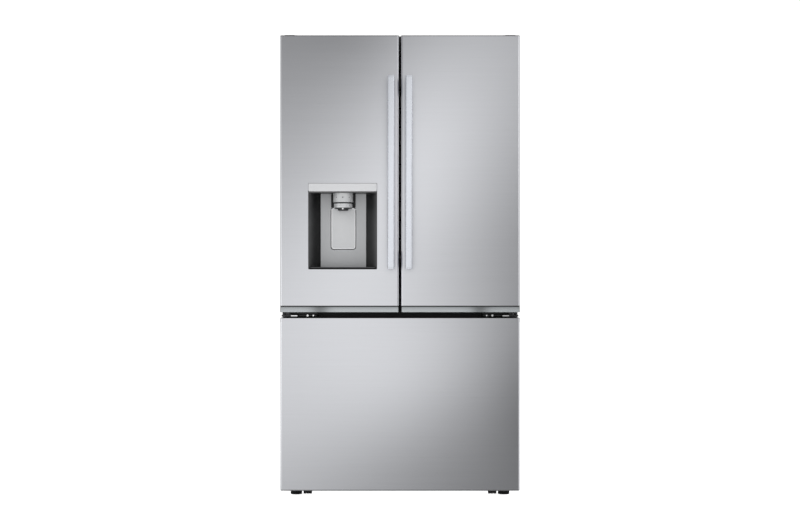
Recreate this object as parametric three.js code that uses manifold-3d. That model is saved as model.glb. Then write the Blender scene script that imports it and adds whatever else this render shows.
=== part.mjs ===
// French door refrigerator with an ice and water dispenser and a bottom freezer drawer.
// Millimetres. The front faces -Y, +X is the right-hand side seen from the front, +Z is up,
// and the origin is on the floor under the middle of the whole refrigerator.
import * as THREE from 'three';
import { mergeVertices } from 'three/addons/utils/BufferGeometryUtils.js';
import Module from 'manifold-3d';

const wasm = await Module();
wasm.setup();

// Driving dimensions
const width = 908; // over the cabinet and over the doors
const backY = 398; // outside of the rear panels
const doorFrontY = -335; // steel fronts of the doors and of the drawer
const doorDepth = 100;
const swingGap = 14; // between the doors' backs and the cabinet's front, filled by the gaskets
const handleReach = 63; // front of the handle bars ahead of the door fronts
const centreGap = 7; // between the two doors
const cabinetZ = [30, 1770];
const drawerZ = [33, 687];
const doorZ = [708, 1756];
const coverTopZ = 1777; // top of the hinge covers, the highest point
const sheet = 3; // steel sheet of the cabinet
const skin = 2; // steel sheet of the door fronts
const liner = 2; // moulded inner walls
const fit = 0.3; // left between pieces that touch

const half = width / 2;
const doorBackY = doorFrontY + doorDepth;
const caseFrontY = doorBackY + swingGap;
const panelY = backY - 3; // where the rear panels meet the cabinet
const room = { half: 402, floor: 737, ceiling: 1716, back: 330 }; // fresh food compartment
const cold = { floor: 92, ceiling: 662, back: 255, stepY: 150, stepZ: 330 }; // freezer compartment
const machine = { frontY: 205, topZ: 265 }; // compressor bay at the rear bottom
const deckZ = 50; // underside of the foam, above the wheels
const pin = { x: 424, y: -280, radius: 6, bore: 6.6 }; // door hinge axes
const cornerRadius = 8; // vertical edges of the doors and of the drawer

// Solids. A range is [low, high]; a solid is cut and joined as a manifold.
function solidOf(geometry) {
  geometry.deleteAttribute('normal');
  geometry.deleteAttribute('uv');
  const merged = mergeVertices(geometry, 1e-4);
  const corners = merged.index.array;
  const kept = [];
  for (let i = 0; i < corners.length; i += 3) {
    const [a, b, c] = corners.subarray(i, i + 3);
    if (a !== b && b !== c && c !== a) kept.push(a, b, c);
  }
  const vertProperties = Float32Array.from(merged.attributes.position.array);
  return new wasm.Manifold(
    new wasm.Mesh({ numProp: 3, vertProperties, triVerts: Uint32Array.from(kept) }),
  );
}

function geometryOf(solid) {
  const { vertProperties, triVerts } = solid.getMesh();
  const geometry = new THREE.BufferGeometry();
  geometry.setAttribute('position', new THREE.BufferAttribute(vertProperties, 3));
  geometry.setIndex(new THREE.BufferAttribute(triVerts, 1));
  geometry.computeVertexNormals();
  return geometry;
}

const join = (first, ...others) => others.reduce((whole, solid) => whole.add(solid), first);
const cut = (body, ...tools) => tools.reduce((left, tool) => left.subtract(tool), body);
const grow = ([low, high], by) => [low - by, high + by];

// A range of distances from the centre line, on the left (side -1) or on the right (side 1).
const onSide = (side, [near, far]) => (side > 0 ? [near, far] : [-far, -near]);

function block(x, y, z) {
  const geometry = new THREE.BoxGeometry(x[1] - x[0], y[1] - y[0], z[1] - z[0]);
  geometry.translate((x[0] + x[1]) / 2, (y[0] + y[1]) / 2, (z[0] + z[1]) / 2);
  return solidOf(geometry);
}

// Round bars along each axis, with the two other coordinates of the centre.
function barX(radius, x, y, z, sides = 24) {
  const geometry = new THREE.CylinderGeometry(radius, radius, x[1] - x[0], sides);
  geometry.rotateZ(Math.PI / 2).translate((x[0] + x[1]) / 2, y, z);
  return solidOf(geometry);
}

function barY(radius, x, y, z, sides = 16) {
  const geometry = new THREE.CylinderGeometry(radius, radius, y[1] - y[0], sides);
  geometry.translate(x, (y[0] + y[1]) / 2, z);
  return solidOf(geometry);
}

function barZ(radius, x, y, z, sides = 20) {
  const geometry = new THREE.CylinderGeometry(radius, radius, z[1] - z[0], sides);
  geometry.rotateX(Math.PI / 2).translate(x, y, (z[0] + z[1]) / 2);
  return solidOf(geometry);
}

// A profile of [radius, height] pairs turned about an upright axis at x, y.
function turned(profile, x, y, sides = 24) {
  const points = profile.map(([radius, height]) => new THREE.Vector2(radius, height));
  const geometry = new THREE.LatheGeometry(points, sides);
  geometry.rotateX(Math.PI / 2).translate(x, y, 0);
  return solidOf(geometry);
}

// A rectangle with rounded corners, in the plane in which it is drawn.
function rounded([x0, x1], [y0, y1], radius) {
  const shape = new THREE.Shape();
  shape.absarc(x1 - radius, y0 + radius, radius, -Math.PI / 2, 0);
  shape.absarc(x1 - radius, y1 - radius, radius, 0, Math.PI / 2);
  shape.absarc(x0 + radius, y1 - radius, radius, Math.PI / 2, Math.PI);
  shape.absarc(x0 + radius, y0 + radius, radius, Math.PI, 1.5 * Math.PI);
  return shape;
}

// A plan outline carried up, and a front outline (x across, z up) carried back.
function upright(shape, z, curveSegments = 4) {
  const geometry = new THREE.ExtrudeGeometry(shape, {
    depth: z[1] - z[0], bevelEnabled: false, curveSegments,
  });
  return solidOf(geometry.translate(0, 0, z[0]));
}

function facing(shape, y, curveSegments = 4) {
  const geometry = new THREE.ExtrudeGeometry(shape, {
    depth: y[1] - y[0], bevelEnabled: false, curveSegments,
  });
  return solidOf(geometry.rotateX(Math.PI / 2).translate(0, y[1], 0));
}

// An open-topped tub with walls of one thickness.
function tub(x, y, z, wall) {
  return cut(block(x, y, z), block(grow(x, -wall), grow(y, -wall), [z[0] + wall, z[1] + 1]));
}

// Finishes: colour, roughness and metalness
const finishes = {
  stainless: [0xb9bbbe, 0.32, 0.9],
  satinAluminium: [0xdcdfe4, 0.28, 0.9],
  chrome: [0xe8eaec, 0.08, 1],
  hingeSteel: [0x8d9094, 0.4, 0.8],
  paintedCase: [0x57595c, 0.5, 0.3],
  galvanised: [0xa4a8ab, 0.45, 0.7],
  whiteLiner: [0xf1f2f1, 0.35, 0],
  foam: [0xe6d9a8, 0.9, 0],
  blackPlastic: [0x16171a, 0.45, 0],
  darkGloss: [0x26282b, 0.12, 0.2],
  greyGasket: [0x8f9194, 0.75, 0],
  clearPlastic: [0xdfe8ec, 0.1, 0],
  rubber: [0x202123, 0.85, 0],
  compressorPaint: [0x1b1c1e, 0.35, 0.4],
};

const fridge = new THREE.Group();
const groups = {};
for (const [name, x, y] of [
  ['cabinet', 0, 0],
  ['leftDoor', -pin.x, pin.y],
  ['rightDoor', pin.x, pin.y],
  ['freezerDrawer', 0, doorFrontY],
]) {
  groups[name] = new THREE.Group();
  groups[name].position.set(x, y, 0);
  fridge.add(groups[name]);
}

// Every solid is made where it stands, and is then hung in the group that it moves with.
function add(group, name, solid, finish) {
  const [color, roughness, metalness] = finishes[finish];
  const material = new THREE.MeshStandardMaterial({ color, roughness, metalness });
  const mesh = new THREE.Mesh(geometryOf(solid), material);
  mesh.name = name;
  groups[group].attach(mesh);
}

// Wheels and feet
const roller = { x: [341.5, 373.5], radius: 19, y: -195, rearY: 330, bore: 4.5, pin: 4 };
const frontRollerLift = 0.8; // the feet carry the front, just clear of its rollers
const rearAxle = { half: 383, radius: 5 };
const cheek = { inner: [336.5, 339.5], outer: [375.5, 378.5], rear: [376, 380], half: 12, lowZ: 11 };
const foot = { x: 402, y: -195, radius: 22.5, pad: 8, step: 3, slope: 6, stem: 5, top: 47 };
const footBoss = 12;

function frontRoller(side) {
  const wheel = barX(roller.radius, onSide(side, roller.x), roller.y, roller.radius + frontRollerLift);
  const bore = grow(onSide(side, roller.x), 1);
  return cut(wheel, barX(roller.bore, bore, roller.y, roller.radius + frontRollerLift, 16));
}

function rearRollers() {
  const wheels = [-1, 1].map((side) =>
    barX(roller.radius, onSide(side, roller.x), roller.rearY, roller.radius));
  const axle = barX(rearAxle.radius, [-rearAxle.half, rearAxle.half], roller.rearY, roller.radius, 16);
  return join(axle, ...wheels);
}

function levellingFoot(side) {
  return turned(
    [[0, 0], [foot.radius, 0], [foot.radius, foot.pad - foot.step],
      [foot.radius - foot.slope, foot.pad], [foot.stem, foot.pad], [foot.stem, foot.top],
      [0, foot.top]],
    side * foot.x, foot.y,
  );
}

// Cabinet
const crossbarDepth = 31;
const wheelSlot = { side: 1.8, half: 24 }; // clearance round a wheel, and half the slot's length

function outerCase() {
  const mouth = room.half + liner + 2 * fit;
  const outside = block([-half, half], [caseFrontY, panelY], cabinetZ);
  const inside = block(
    grow([-half, half], -sheet), [caseFrontY + sheet, panelY + 1], grow(cabinetZ, -sheet),
  );
  const opening = block(
    [-mouth, mouth], [caseFrontY - 1, caseFrontY + sheet + 1],
    [cold.floor - liner - 2 * fit, room.ceiling + liner + 2 * fit],
  );
  const crossbar = block(
    [-mouth - 4, mouth + 4], [caseFrontY, caseFrontY + crossbarDepth],
    [cold.ceiling + liner + fit, room.floor - liner - fit],
  );
  const floorZ = [cabinetZ[0], cabinetZ[0] + sheet];
  let body = join(cut(outside, inside, opening), crossbar, fanMount());
  for (const side of [-1, 1]) {
    const slotX = grow(onSide(side, roller.x), wheelSlot.side);
    body = cut(
      join(body, barZ(footBoss, side * foot.x, foot.y, [floorZ[0], deckZ - 5])),
      block(slotX, grow([roller.y, roller.y], wheelSlot.half), grow(floorZ, 1)),
      block(slotX, grow([roller.rearY, roller.rearY], wheelSlot.half), grow(floorZ, 1)),
      barZ(foot.stem + 0.4, side * foot.x, foot.y, [cabinetZ[0] - 1, deckZ]),
    );
    const cheekZ = [cheek.lowZ, floorZ[0] + 1];
    const pinX = onSide(side, [cheek.inner[0] + 1.5, cheek.outer[0] + 1.5]);
    const rearX = onSide(side, cheek.rear);
    for (const x of [cheek.inner, cheek.outer]) {
      body = join(body, block(onSide(side, x), grow([roller.y, roller.y], cheek.half), cheekZ));
    }
    const bearing = block(rearX, grow([roller.rearY, roller.rearY], cheek.half), cheekZ);
    const bearingBore = barX(rearAxle.radius + 0.4, grow(rearX, 6), roller.rearY, roller.radius, 16);
    body = join(
      body,
      barX(roller.pin, pinX, roller.y, roller.radius + frontRollerLift, 16),
      cut(bearing, bearingBore),
    );
  }
  return body;
}

const fan = { x: [104, 124], y: 300, z: 150, radius: 72, hub: 16, shaft: 3 };
const fanMotor = { x: [129, 158], radius: 24, stand: [146, 152], standHalf: 30 };

function fanMount() {
  return join(
    block(fanMotor.stand, grow([fan.y, fan.y], fanMotor.standHalf), [cabinetZ[0], fan.z]),
    barX(fanMotor.radius, fanMotor.x, fan.y, fan.z),
    barX(fan.shaft, [fan.x[0], fanMotor.x[0] + 1], fan.y, fan.z, 12),
  );
}

function condenserFan() {
  const bladeCount = 5;
  const bladeSize = { thick: 2.4, wide: 30, pitch: 0.6 };
  const root = 10; // inside the hub
  const span = fan.radius - root;
  let rotor = barX(fan.hub, fan.x, fan.y, fan.z);
  for (let i = 0; i < bladeCount; i += 1) {
    const blade = new THREE.BoxGeometry(bladeSize.thick, bladeSize.wide, span);
    blade.rotateZ(bladeSize.pitch).translate(0, 0, root + span / 2);
    blade.rotateX((i * 2 * Math.PI) / bladeCount).translate((fan.x[0] + fan.x[1]) / 2, fan.y, fan.z);
    rotor = join(rotor, solidOf(blade));
  }
  return cut(rotor, barX(fan.shaft + 0.4, grow(fan.x, 2), fan.y, fan.z, 12));
}

const rear = { sheetY: [panelY + fit, panelY + 1.8], inset: 4 };
const rib = { xs: [-330, -110, 110, 330], half: 9, z: [330, 1700] }; // pressed into the rear panel
const vent = { starts: [-370, 60], count: 9, pitch: 22, width: 9, z: [95, 205] };
const powerInlet = { x: 330, z: 80, radius: 19, depth: 12 };
const waterInlet = { x: -410, z: 80, radius: 13, bore: 8, depth: 14 };

function rearPanel() {
  const z = [machine.topZ + 4, cabinetZ[1] - rear.inset];
  let panel = block(grow([-half, half], -rear.inset), rear.sheetY, z);
  for (const x of rib.xs) {
    panel = join(panel, block(grow([x, x], rib.half), [panelY + 1, backY], rib.z));
  }
  return panel;
}

function machineCover() {
  const z = [cabinetZ[0] + 6, machine.topZ + 2];
  let cover = block(grow([-half, half], -rear.inset), rear.sheetY, z);
  for (const start of vent.starts) {
    for (let i = 0; i < vent.count; i += 1) {
      const x = start + vent.pitch * i;
      cover = cut(cover, block([x, x + vent.width], [panelY - 1, backY], vent.z));
    }
  }
  const inlets = [powerInlet, waterInlet].map(({ x, z: middle, radius, depth }) =>
    barY(radius, x, [panelY - depth, backY], middle));
  const bore = barY(waterInlet.bore, waterInlet.x, [backY - 10, backY + 1], waterInlet.z);
  return cut(join(cover, ...inlets), bore);
}

function insulation() {
  const wall = liner + fit;
  const inner = [-room.half - wall, room.half + wall];
  const foamX = grow([-half, half], -sheet - fit);
  return cut(
    block(foamX, [caseFrontY + sheet + fit, panelY - fit], [deckZ + fit, cabinetZ[1] - sheet - fit]),
    block(inner, [caseFrontY, room.back + wall], [room.floor - wall, room.ceiling + wall]),
    block(inner, [caseFrontY, cold.stepY + wall], [cold.floor - wall, cold.ceiling + wall]),
    block(inner, [0, room.back + wall], [cold.stepZ - wall, cold.ceiling + wall]),
    block(grow(inner, 5), [caseFrontY, caseFrontY + crossbarDepth + fit], [cold.ceiling, room.floor]),
    block([-half, half], [machine.frontY, backY], [deckZ - 1, machine.topZ]),
  );
}

const shelfZ = { crisper: 916, middle: 1160, upper: 1400 };
const shelfBackY = 312;
const shelfLedge = { x: [394, 403], y: [-40, 300], height: 14 };
const crisperRunner = { nears: [60, 300], width: 14, y: [-150, 310] };
const basketLedge = { x: [390, 403], y: [-202, 245], height: 8 };

function fridgeLiner() {
  const x = [-room.half, room.half];
  let walls = cut(
    block(grow(x, liner), [caseFrontY, room.back + liner], [room.floor - liner, room.ceiling + liner]),
    block(x, [caseFrontY - 1, room.back], [room.floor, room.ceiling]),
  );
  for (const side of [-1, 1]) {
    for (const z of [shelfZ.middle, shelfZ.upper]) {
      const ledgeZ = [z - shelfLedge.height, z - fit];
      walls = join(walls, block(onSide(side, shelfLedge.x), shelfLedge.y, ledgeZ));
    }
    for (const near of crisperRunner.nears) {
      const runnerX = onSide(side, [near, near + crisperRunner.width]);
      const runnerZ = [room.floor - 1, crisper.z[0] - fit];
      walls = join(walls, block(runnerX, crisperRunner.y, runnerZ));
    }
  }
  return walls;
}

function freezerLiner() {
  const x = [-room.half, room.half];
  const ends = [cold.floor, cold.ceiling];
  let walls = cut(
    join(
      block(grow(x, liner), [caseFrontY, cold.stepY + liner], grow(ends, liner)),
      block(grow(x, liner), [0, cold.back + liner], [cold.stepZ - liner, cold.ceiling + liner]),
    ),
    block(x, [caseFrontY - 1, cold.stepY], ends),
    block(x, [0, cold.back], [cold.stepZ, cold.ceiling]),
  );
  for (const side of [-1, 1]) {
    const ledgeZ = [upperBasket.z[0] - basketLedge.height, upperBasket.z[0] - fit];
    walls = join(walls, block(onSide(side, basketLedge.x), basketLedge.y, ledgeZ));
  }
  return walls;
}

// Door hinges. The left and the right one mirror each other.
const pinDepth = 28; // how far each hinge pin reaches into its door
const plate = { x: [398, 448], frontY: -226, backY: -124, z: [1759, 1773] };
const nose = { x: [404, 440], frontY: -292, topZ: 1763 }; // arm of the top hinge, over the door
const cover = { x: [394, 452], y: [-234, -112], noseX: [396, 438], noseFrontY: -298, noseTopZ: 1768.5 };
const bracket = { x: [318, 450], frontY: -229, z: [688.5, 706] }; // upright plate in the gap
const arm = { frontY: -266, tipX: [398, 448], tipFrontY: -300, z: [690.5, 696.5], collar: 10, topZ: 704 };

function topHinge(side) {
  const plateX = onSide(side, plate.x);
  return join(
    block(plateX, [plate.frontY + 2, plate.backY], [cabinetZ[1] + fit, plate.z[1]]),
    block(plateX, [plate.frontY, caseFrontY - fit], plate.z),
    block(onSide(side, nose.x), [nose.frontY, plate.frontY + 4], [plate.z[0], nose.topZ]),
    barZ(pin.radius, side * pin.x, pin.y, [doorZ[1] - pinDepth, nose.topZ - 2]),
  );
}

function hingeCover(side) {
  const noseX = onSide(side, cover.noseX);
  const plateX = grow(onSide(side, plate.x), fit);
  const noseZ = nose.topZ + fit;
  return cut(
    join(
      block(onSide(side, cover.x), cover.y, [cabinetZ[1] + fit, coverTopZ]),
      block(noseX, [cover.noseFrontY, cover.y[0] + 4], [noseZ, cover.noseTopZ]),
      block(noseX, [cover.y[0], plate.frontY - fit], [noseZ, coverTopZ]),
    ),
    block(plateX, grow([plate.frontY, plate.backY], fit), [cabinetZ[1] - 1, plate.z[1] + fit]),
  );
}

function centerHinge(side) {
  const bracketX = onSide(side, bracket.x);
  return join(
    block(bracketX, [bracket.frontY, caseFrontY - fit], bracket.z),
    block(bracketX, [arm.frontY, bracket.frontY + 1], arm.z),
    block(onSide(side, arm.tipX), [arm.tipFrontY, arm.frontY + 1], arm.z),
    barZ(arm.collar, side * pin.x, pin.y, [arm.z[1] - 1, arm.topZ]),
    barZ(pin.radius, side * pin.x, pin.y, [arm.z[0], doorZ[0] + pinDepth]),
  );
}

// Doors
const pinSocket = 32; // depth of the bores for the hinge pins
const cap = { top: 2.2, recess: 2 }; // plastic end caps of a door
const free = centreGap / 2; // the doors' free edges, from the centre line
const trim = { height: 21, seam: 4, depth: 4 };
const dike = { x: [48.5, 394], z: [745, 1700], width: 18, y: -205 }; // raised rim of the inner face

// Plan outline of a door or of the drawer front: the two front corners are rounded.
function doorOutline([x0, x1], [y0, y1], radius) {
  const shape = new THREE.Shape();
  shape.absarc(x0 + radius, y0 + radius, radius, Math.PI, 1.5 * Math.PI);
  shape.absarc(x1 - radius, y0 + radius, radius, 1.5 * Math.PI, 2 * Math.PI);
  shape.lineTo(x1, y1);
  shape.lineTo(x0, y1);
  return shape;
}

// A bent steel front: a face with two returns, open at the back, top and bottom.
function bentFront(x, z) {
  const y = [doorFrontY, doorBackY - 10];
  const innerX = grow(x, -skin);
  return cut(
    upright(doorOutline(x, y, cornerRadius), z),
    upright(doorOutline(innerX, [y[0] + skin, y[1] + 1], cornerRadius - skin), grow(z, 1)),
  );
}

function doorSkin(side) {
  const x = onSide(side, [free, half]);
  const front = bentFront(x, [doorZ[0] + trim.height + trim.seam, doorZ[1] - cap.top - fit]);
  if (side > 0) return front;
  return cut(front, facing(dispenserOutline(fit), [doorFrontY - 1, doorFrontY + 10]));
}

function doorCore(side) {
  const x = onSide(side, [free, half]);
  const within = skin + fit;
  const seamZ = doorZ[0] + trim.height + trim.seam;
  const core = upright(
    doorOutline(grow(x, -within), [doorFrontY + within, doorBackY], cornerRadius - within), doorZ,
  );
  const capOutline = doorOutline(x, [doorFrontY, doorBackY], cornerRadius);
  const topCap = upright(capOutline, [doorZ[1] - cap.top, doorZ[1]]);
  const bottomCap = cut(
    upright(capOutline, [doorZ[0], seamZ - fit]),
    block(x, [doorFrontY - 1, doorFrontY + cap.recess], [doorZ[0], seamZ]),
  );
  const trimPocket = block(
    grow(x, 1), [doorFrontY - 1, doorFrontY + trim.depth + fit],
    [doorZ[0] - 1, doorZ[0] + trim.height + fit],
  );
  const rim = cut(
    block(onSide(side, dike.x), [doorBackY - 1, dike.y], dike.z),
    block(onSide(side, grow(dike.x, -dike.width)), [doorBackY, dike.y + 1], grow(dike.z, -dike.width)),
  );
  return cut(
    join(core, topCap, bottomCap, rim),
    trimPocket,
    barZ(pin.bore, side * pin.x, pin.y, [doorZ[0] - 1, doorZ[0] + pinSocket]),
    barZ(pin.bore, side * pin.x, pin.y, [doorZ[1] - pinSocket, doorZ[1] + 1]),
  );
}

function gasket(x, z) {
  const strip = 16;
  return cut(
    facing(rounded(x, z, 6), [doorBackY + fit, caseFrontY - 2], 2),
    block(grow(x, -strip), [doorBackY - 1, caseFrontY], grow(z, -strip)),
  );
}

function doorTrim(side) {
  return block(
    onSide(side, [free + 3, half - 3]), [doorFrontY, doorFrontY + trim.depth],
    [doorZ[0], doorZ[0] + trim.height],
  );
}

const handle = { x: 33.7, width: 26, z: [872, 1598], thick: 12, postLength: 60, postInset: 4 };

function doorHandle(side) {
  const x = grow([side * handle.x, side * handle.x], handle.width / 2);
  const frontY = doorFrontY - handleReach;
  const bar = facing(rounded(x, handle.z, 6), [frontY, frontY + handle.thick]);
  const postY = [frontY + handle.thick - 1, doorFrontY - fit];
  const [lowZ, highZ] = grow(handle.z, -handle.postInset);
  const postX = grow(x, -handle.postInset);
  return join(
    bar,
    block(postX, postY, [lowZ, lowZ + handle.postLength]),
    block(postX, postY, [highZ - handle.postLength, highZ]),
  );
}

// Ice and water dispenser in the left door
const dispenser = {
  x: [-347, -87], z: [870.6, 1196.5], fasciaZ: 1165, middle: -217, fasciaBackY: -322,
  housing: { backY: -236.5, lowZ: 866 },
  bulge: { x: [-352, -82], backY: -215, z: [848, 1215] }, // cover of the housing inside the door
};
const recess = { frontHalf: 129, backHalf: 88.5, backY: -260, ceiling: 1161 };
const paddle = {
  x: [-263.5, -170.5], z: [948, 1106], y: [-261, -255], pivotY: -256, pivotZ: 1100,
  pin: 2.5, pinReach: 5, pocketBackY: -238.3,
};
const spout = {
  y: -290, radius: 38, z: 1144, nozzle: 20, nozzleZ: 1094, ring: 35.5, ringZ: [1105, 1120.5],
  groove: 33, bodyZ: 1126,
};
const button = { radius: 4, length: 12, proud: 0.8 };

function dispenserOutline(by) {
  return rounded(grow(dispenser.x, by), grow(dispenser.z, by), 4);
}

function leftDoorCore() {
  const x = grow(dispenser.x, fit);
  const { bulge, housing, fasciaZ, fasciaBackY } = dispenser;
  const [lowZ, highZ] = flap.z;
  const knuckles = [[lowZ - 12, lowZ - 4], [highZ + 4, highZ + 12]].map((z) =>
    block(flap.knuckleX, [flap.y - 6, dike.y], z));
  const flapPins = [[lowZ - 5, lowZ + 10], [highZ - 10, highZ + 5]].map((z) =>
    barZ(flap.pin, flap.x, flap.y, z, 12));
  return join(
    cut(
      join(doorCore(-1), block(bulge.x, [doorBackY - 1, bulge.backY], bulge.z)),
      block(x, [doorFrontY - 1, housing.backY + fit], [housing.lowZ - fit, fasciaZ]),
      block(x, [doorFrontY - 1, fasciaBackY + fit], [fasciaZ - 1, dispenser.z[1] + fit]),
    ),
    ...knuckles,
    ...flapPins,
  );
}

// Half width of the recess at a depth: its side walls slant in towards the back.
function recessHalf(y) {
  const along = (y - doorFrontY) / (recess.backY - doorFrontY);
  return recess.frontHalf + along * (recess.backHalf - recess.frontHalf);
}

// Plan outline that follows the recess's slanted walls between two depths.
function recessOutline([y0, y1], inset) {
  const shape = new THREE.Shape();
  shape.moveTo(dispenser.middle - recessHalf(y0) + inset, y0);
  shape.lineTo(dispenser.middle + recessHalf(y0) - inset, y0);
  shape.lineTo(dispenser.middle + recessHalf(y1) - inset, y1);
  shape.lineTo(dispenser.middle - recessHalf(y1) + inset, y1);
  return shape;
}

function dispenserHousing() {
  const { backY: housingY, lowZ } = dispenser.housing;
  const pocketY = [recess.backY - 1, paddle.pocketBackY];
  const pinX = grow(paddle.x, paddle.pinReach + 2);
  return cut(
    block(dispenser.x, [doorFrontY + skin + fit, housingY], [lowZ, dispenser.fasciaZ - fit]),
    upright(recessOutline([doorFrontY, recess.backY], 0), [dispenser.z[0], recess.ceiling]),
    block(grow(paddle.x, 2.5), pocketY, grow(paddle.z, 4)),
    barX(paddle.pin + 0.4, pinX, paddle.pivotY, paddle.pivotZ, 12),
  );
}

function dispenserFascia() {
  return facing(
    rounded(dispenser.x, [dispenser.fasciaZ + fit, dispenser.z[1]], 4),
    [doorFrontY - 1, dispenser.fasciaBackY],
  );
}

function dispenserSpout() {
  const { radius, nozzle, nozzleZ, ring, ringZ, groove, bodyZ } = spout;
  const topZ = recess.ceiling - fit;
  const body = turned(
    [[0, nozzleZ], [nozzle, nozzleZ], [nozzle + 2, ringZ[0]], [ring, ringZ[0]], [ring, ringZ[1]],
      [groove, ringZ[1]], [groove, bodyZ], [radius, bodyZ], [radius, topZ], [0, topZ]],
    dispenser.middle, spout.y, 32,
  );
  const behind = block(dispenser.x, [recess.backY - 2.5, doorBackY], dispenser.z); // clears the paddle
  const pockets = spoutButtons.map(({ x, frontY }) =>
    barY(button.radius + 0.5, x, [frontY - 4, frontY + button.length + 4], spout.z));
  return cut(body, behind, ...pockets);
}

// Three push buttons set into the front of the spout's round housing, level with each other
const spoutButtons = [['left', -24], ['center', 0], ['right', 24]].map(([name, across]) => ({
  name: `${name}_spout_button`,
  x: dispenser.middle + across,
  frontY: spout.y - Math.sqrt(spout.radius ** 2 - across ** 2) - button.proud,
}));

function dispenserPaddle() {
  return join(
    facing(rounded(paddle.x, paddle.z, 10), paddle.y),
    barX(paddle.pin, grow(paddle.x, paddle.pinReach), paddle.pivotY, paddle.pivotZ, 12),
  );
}

const trayZ = [871, 879];

function dripTray() {
  return upright(recessOutline([doorFrontY + 4, recess.backY - 2], 1.5), trayZ);
}

const iceBox = { x: [-372, -70], z: [1225, 1676], bodyBackY: -104, coverBackY: -84, coverInset: 6 };
const latch = { x: [-92, -80], backY: -80, z: [1410, 1490] };

function iceCompartment() {
  const { x, z, bodyBackY, coverBackY, coverInset } = iceBox;
  return join(
    block(x, [doorBackY + fit, bodyBackY], z),
    block(grow(x, -coverInset), [bodyBackY - 1, coverBackY], grow(z, -coverInset)),
    block(latch.x, [coverBackY - 1, latch.backY], latch.z),
  );
}

// A hinged strip on the left door that closes the gap behind the doors' free edges
const flap = {
  x: -40, y: -211, tip: -4.5, z: [760, 1690], frontY: -221.5, backY: -205,
  pin: 2.5, bore: 2.9, knuckleX: [-50, -35],
};

function mullionFlap() {
  const round = flap.backY - flap.y;
  const shape = new THREE.Shape();
  shape.moveTo(flap.x, flap.frontY);
  shape.lineTo(flap.tip, flap.frontY);
  shape.lineTo(flap.tip, flap.backY);
  shape.lineTo(flap.x, flap.backY);
  shape.absarc(flap.x, flap.y, round, Math.PI / 2, 1.5 * Math.PI);
  return cut(
    upright(shape, flap.z, 8),
    barZ(flap.bore, flap.x, flap.y, [flap.z[0] - 1, flap.z[0] + 14], 12),
    barZ(flap.bore, flap.x, flap.y, [flap.z[1] - 14, flap.z[1] + 1], 12),
  );
}

// Shelves, bins and drawers
const crisper = { x: [12, 338], y: [-140, 250], z: [745, 905] };
const upperBasket = { x: [-386, 386], y: [-190, 232], z: [444.5, 590] };
const lowerBasket = { x: [-371, 371], y: [-195, 130], z: [100, 400] };
const slideArm = { x: [376, 382.7], z: [242, 266], backY: 130 };
const midRail = { x: [383, 389.7], y: [-202, 138], z: [238, 270] };
const fixedRail = { x: [390, 401.7], y: [-202, 140], z: [232, 276] };
const drawerDike = { half: 394, width: 20, z: [100, 646] };
const grip = { half: 300, y: [-323, -292], z: 662 }; // finger groove in the drawer's top edge
const wall = 3; // of the tubs
const airTower = { half: 60, depth: 14, z: [945, 1695] };

const rail = (side, { x, y, z }) => block(onSide(side, x), y, z);

function shelf(x, y, z) {
  const plate = block(x, y, [z, z + 7]);
  const frontEdge = block(x, [y[0] - 4, y[0] + 6], [z - 4, z + 11]);
  return join(plate, frontEdge);
}

function doorBin(side, far, backY, z) {
  return tub(onSide(side, [70, far]), [doorBackY + fit, backY], z, wall);
}

function crisperDrawer(side) {
  const x = onSide(side, crisper.x);
  const lip = block(x, [crisper.y[0] - 8, crisper.y[0] + 1], [crisper.z[1] - 30, crisper.z[1]]);
  return join(tub(x, crisper.y, crisper.z, wall), lip);
}

function drawerCore() {
  const within = skin + fit;
  const x = [-half, half];
  const core = upright(
    doorOutline(grow(x, -within), [doorFrontY + within, doorBackY], cornerRadius - within), drawerZ,
  );
  const dikeX = [-drawerDike.half, drawerDike.half];
  const rim = cut(
    block(dikeX, [doorBackY - 1, dike.y], drawerDike.z),
    block(grow(dikeX, -drawerDike.width), [doorBackY, dike.y + 1], grow(drawerDike.z, -drawerDike.width)),
  );
  const groove = block([-grip.half, grip.half], grip.y, [grip.z, drawerZ[1] + 1]);
  const arms = [-1, 1].map((side) =>
    block(onSide(side, slideArm.x), [doorBackY - 1, slideArm.backY], slideArm.z));
  return join(cut(join(core, rim), groove), ...arms);
}

function lowerFreezerBasket() {
  const { x, y, z } = lowerBasket;
  const lipZ = [slideArm.z[1] + fit, slideArm.z[1] + 4];
  const lips = [-1, 1].map((side) =>
    block(onSide(side, [x[1] - 1, slideArm.x[1] - 0.7]), [y[0] + 5, y[1]], lipZ));
  return join(tub(x, y, z, wall), ...lips);
}

function upperFreezerBasket() {
  const { x, y, z } = upperBasket;
  const runners = [-1, 1].map((side) =>
    block(onSide(side, [x[1] - 1, x[1] + 13]), [y[0] + 5, y[1]], [z[0], z[0] + 5]));
  return join(tub(x, y, z, wall), ...runners);
}

const coil = { half: 320, y: [292, 300], z: [350, 640] };
const fins = { count: 17, first: -316, pitch: 39.5, thick: 3, y: [266, 326] };

function evaporator() {
  let body = block([-coil.half, coil.half], coil.y, coil.z);
  for (let i = 0; i < fins.count; i += 1) {
    const x = fins.first + fins.pitch * i;
    const finX = [x - fins.thick / 2, x + fins.thick / 2];
    body = join(body, block(finX, fins.y, grow(coil.z, -5)));
  }
  return body;
}

const pot = {
  x: -200, y: 300, plateX: 95, plateY: 75,
  profile: [[0, 48], [62, 48], [76, 70], [76, 185], [58, 226], [24, 238], [0, 238]],
};

function compressor() {
  const { x, y, plateX, plateY, profile } = pot;
  const base = [cabinetZ[0] + sheet + fit, profile[0][1] + 4];
  return join(
    turned(profile, x, y, 28),
    block(grow([x, x], plateX), grow([y, y], plateY), base),
  );
}

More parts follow.
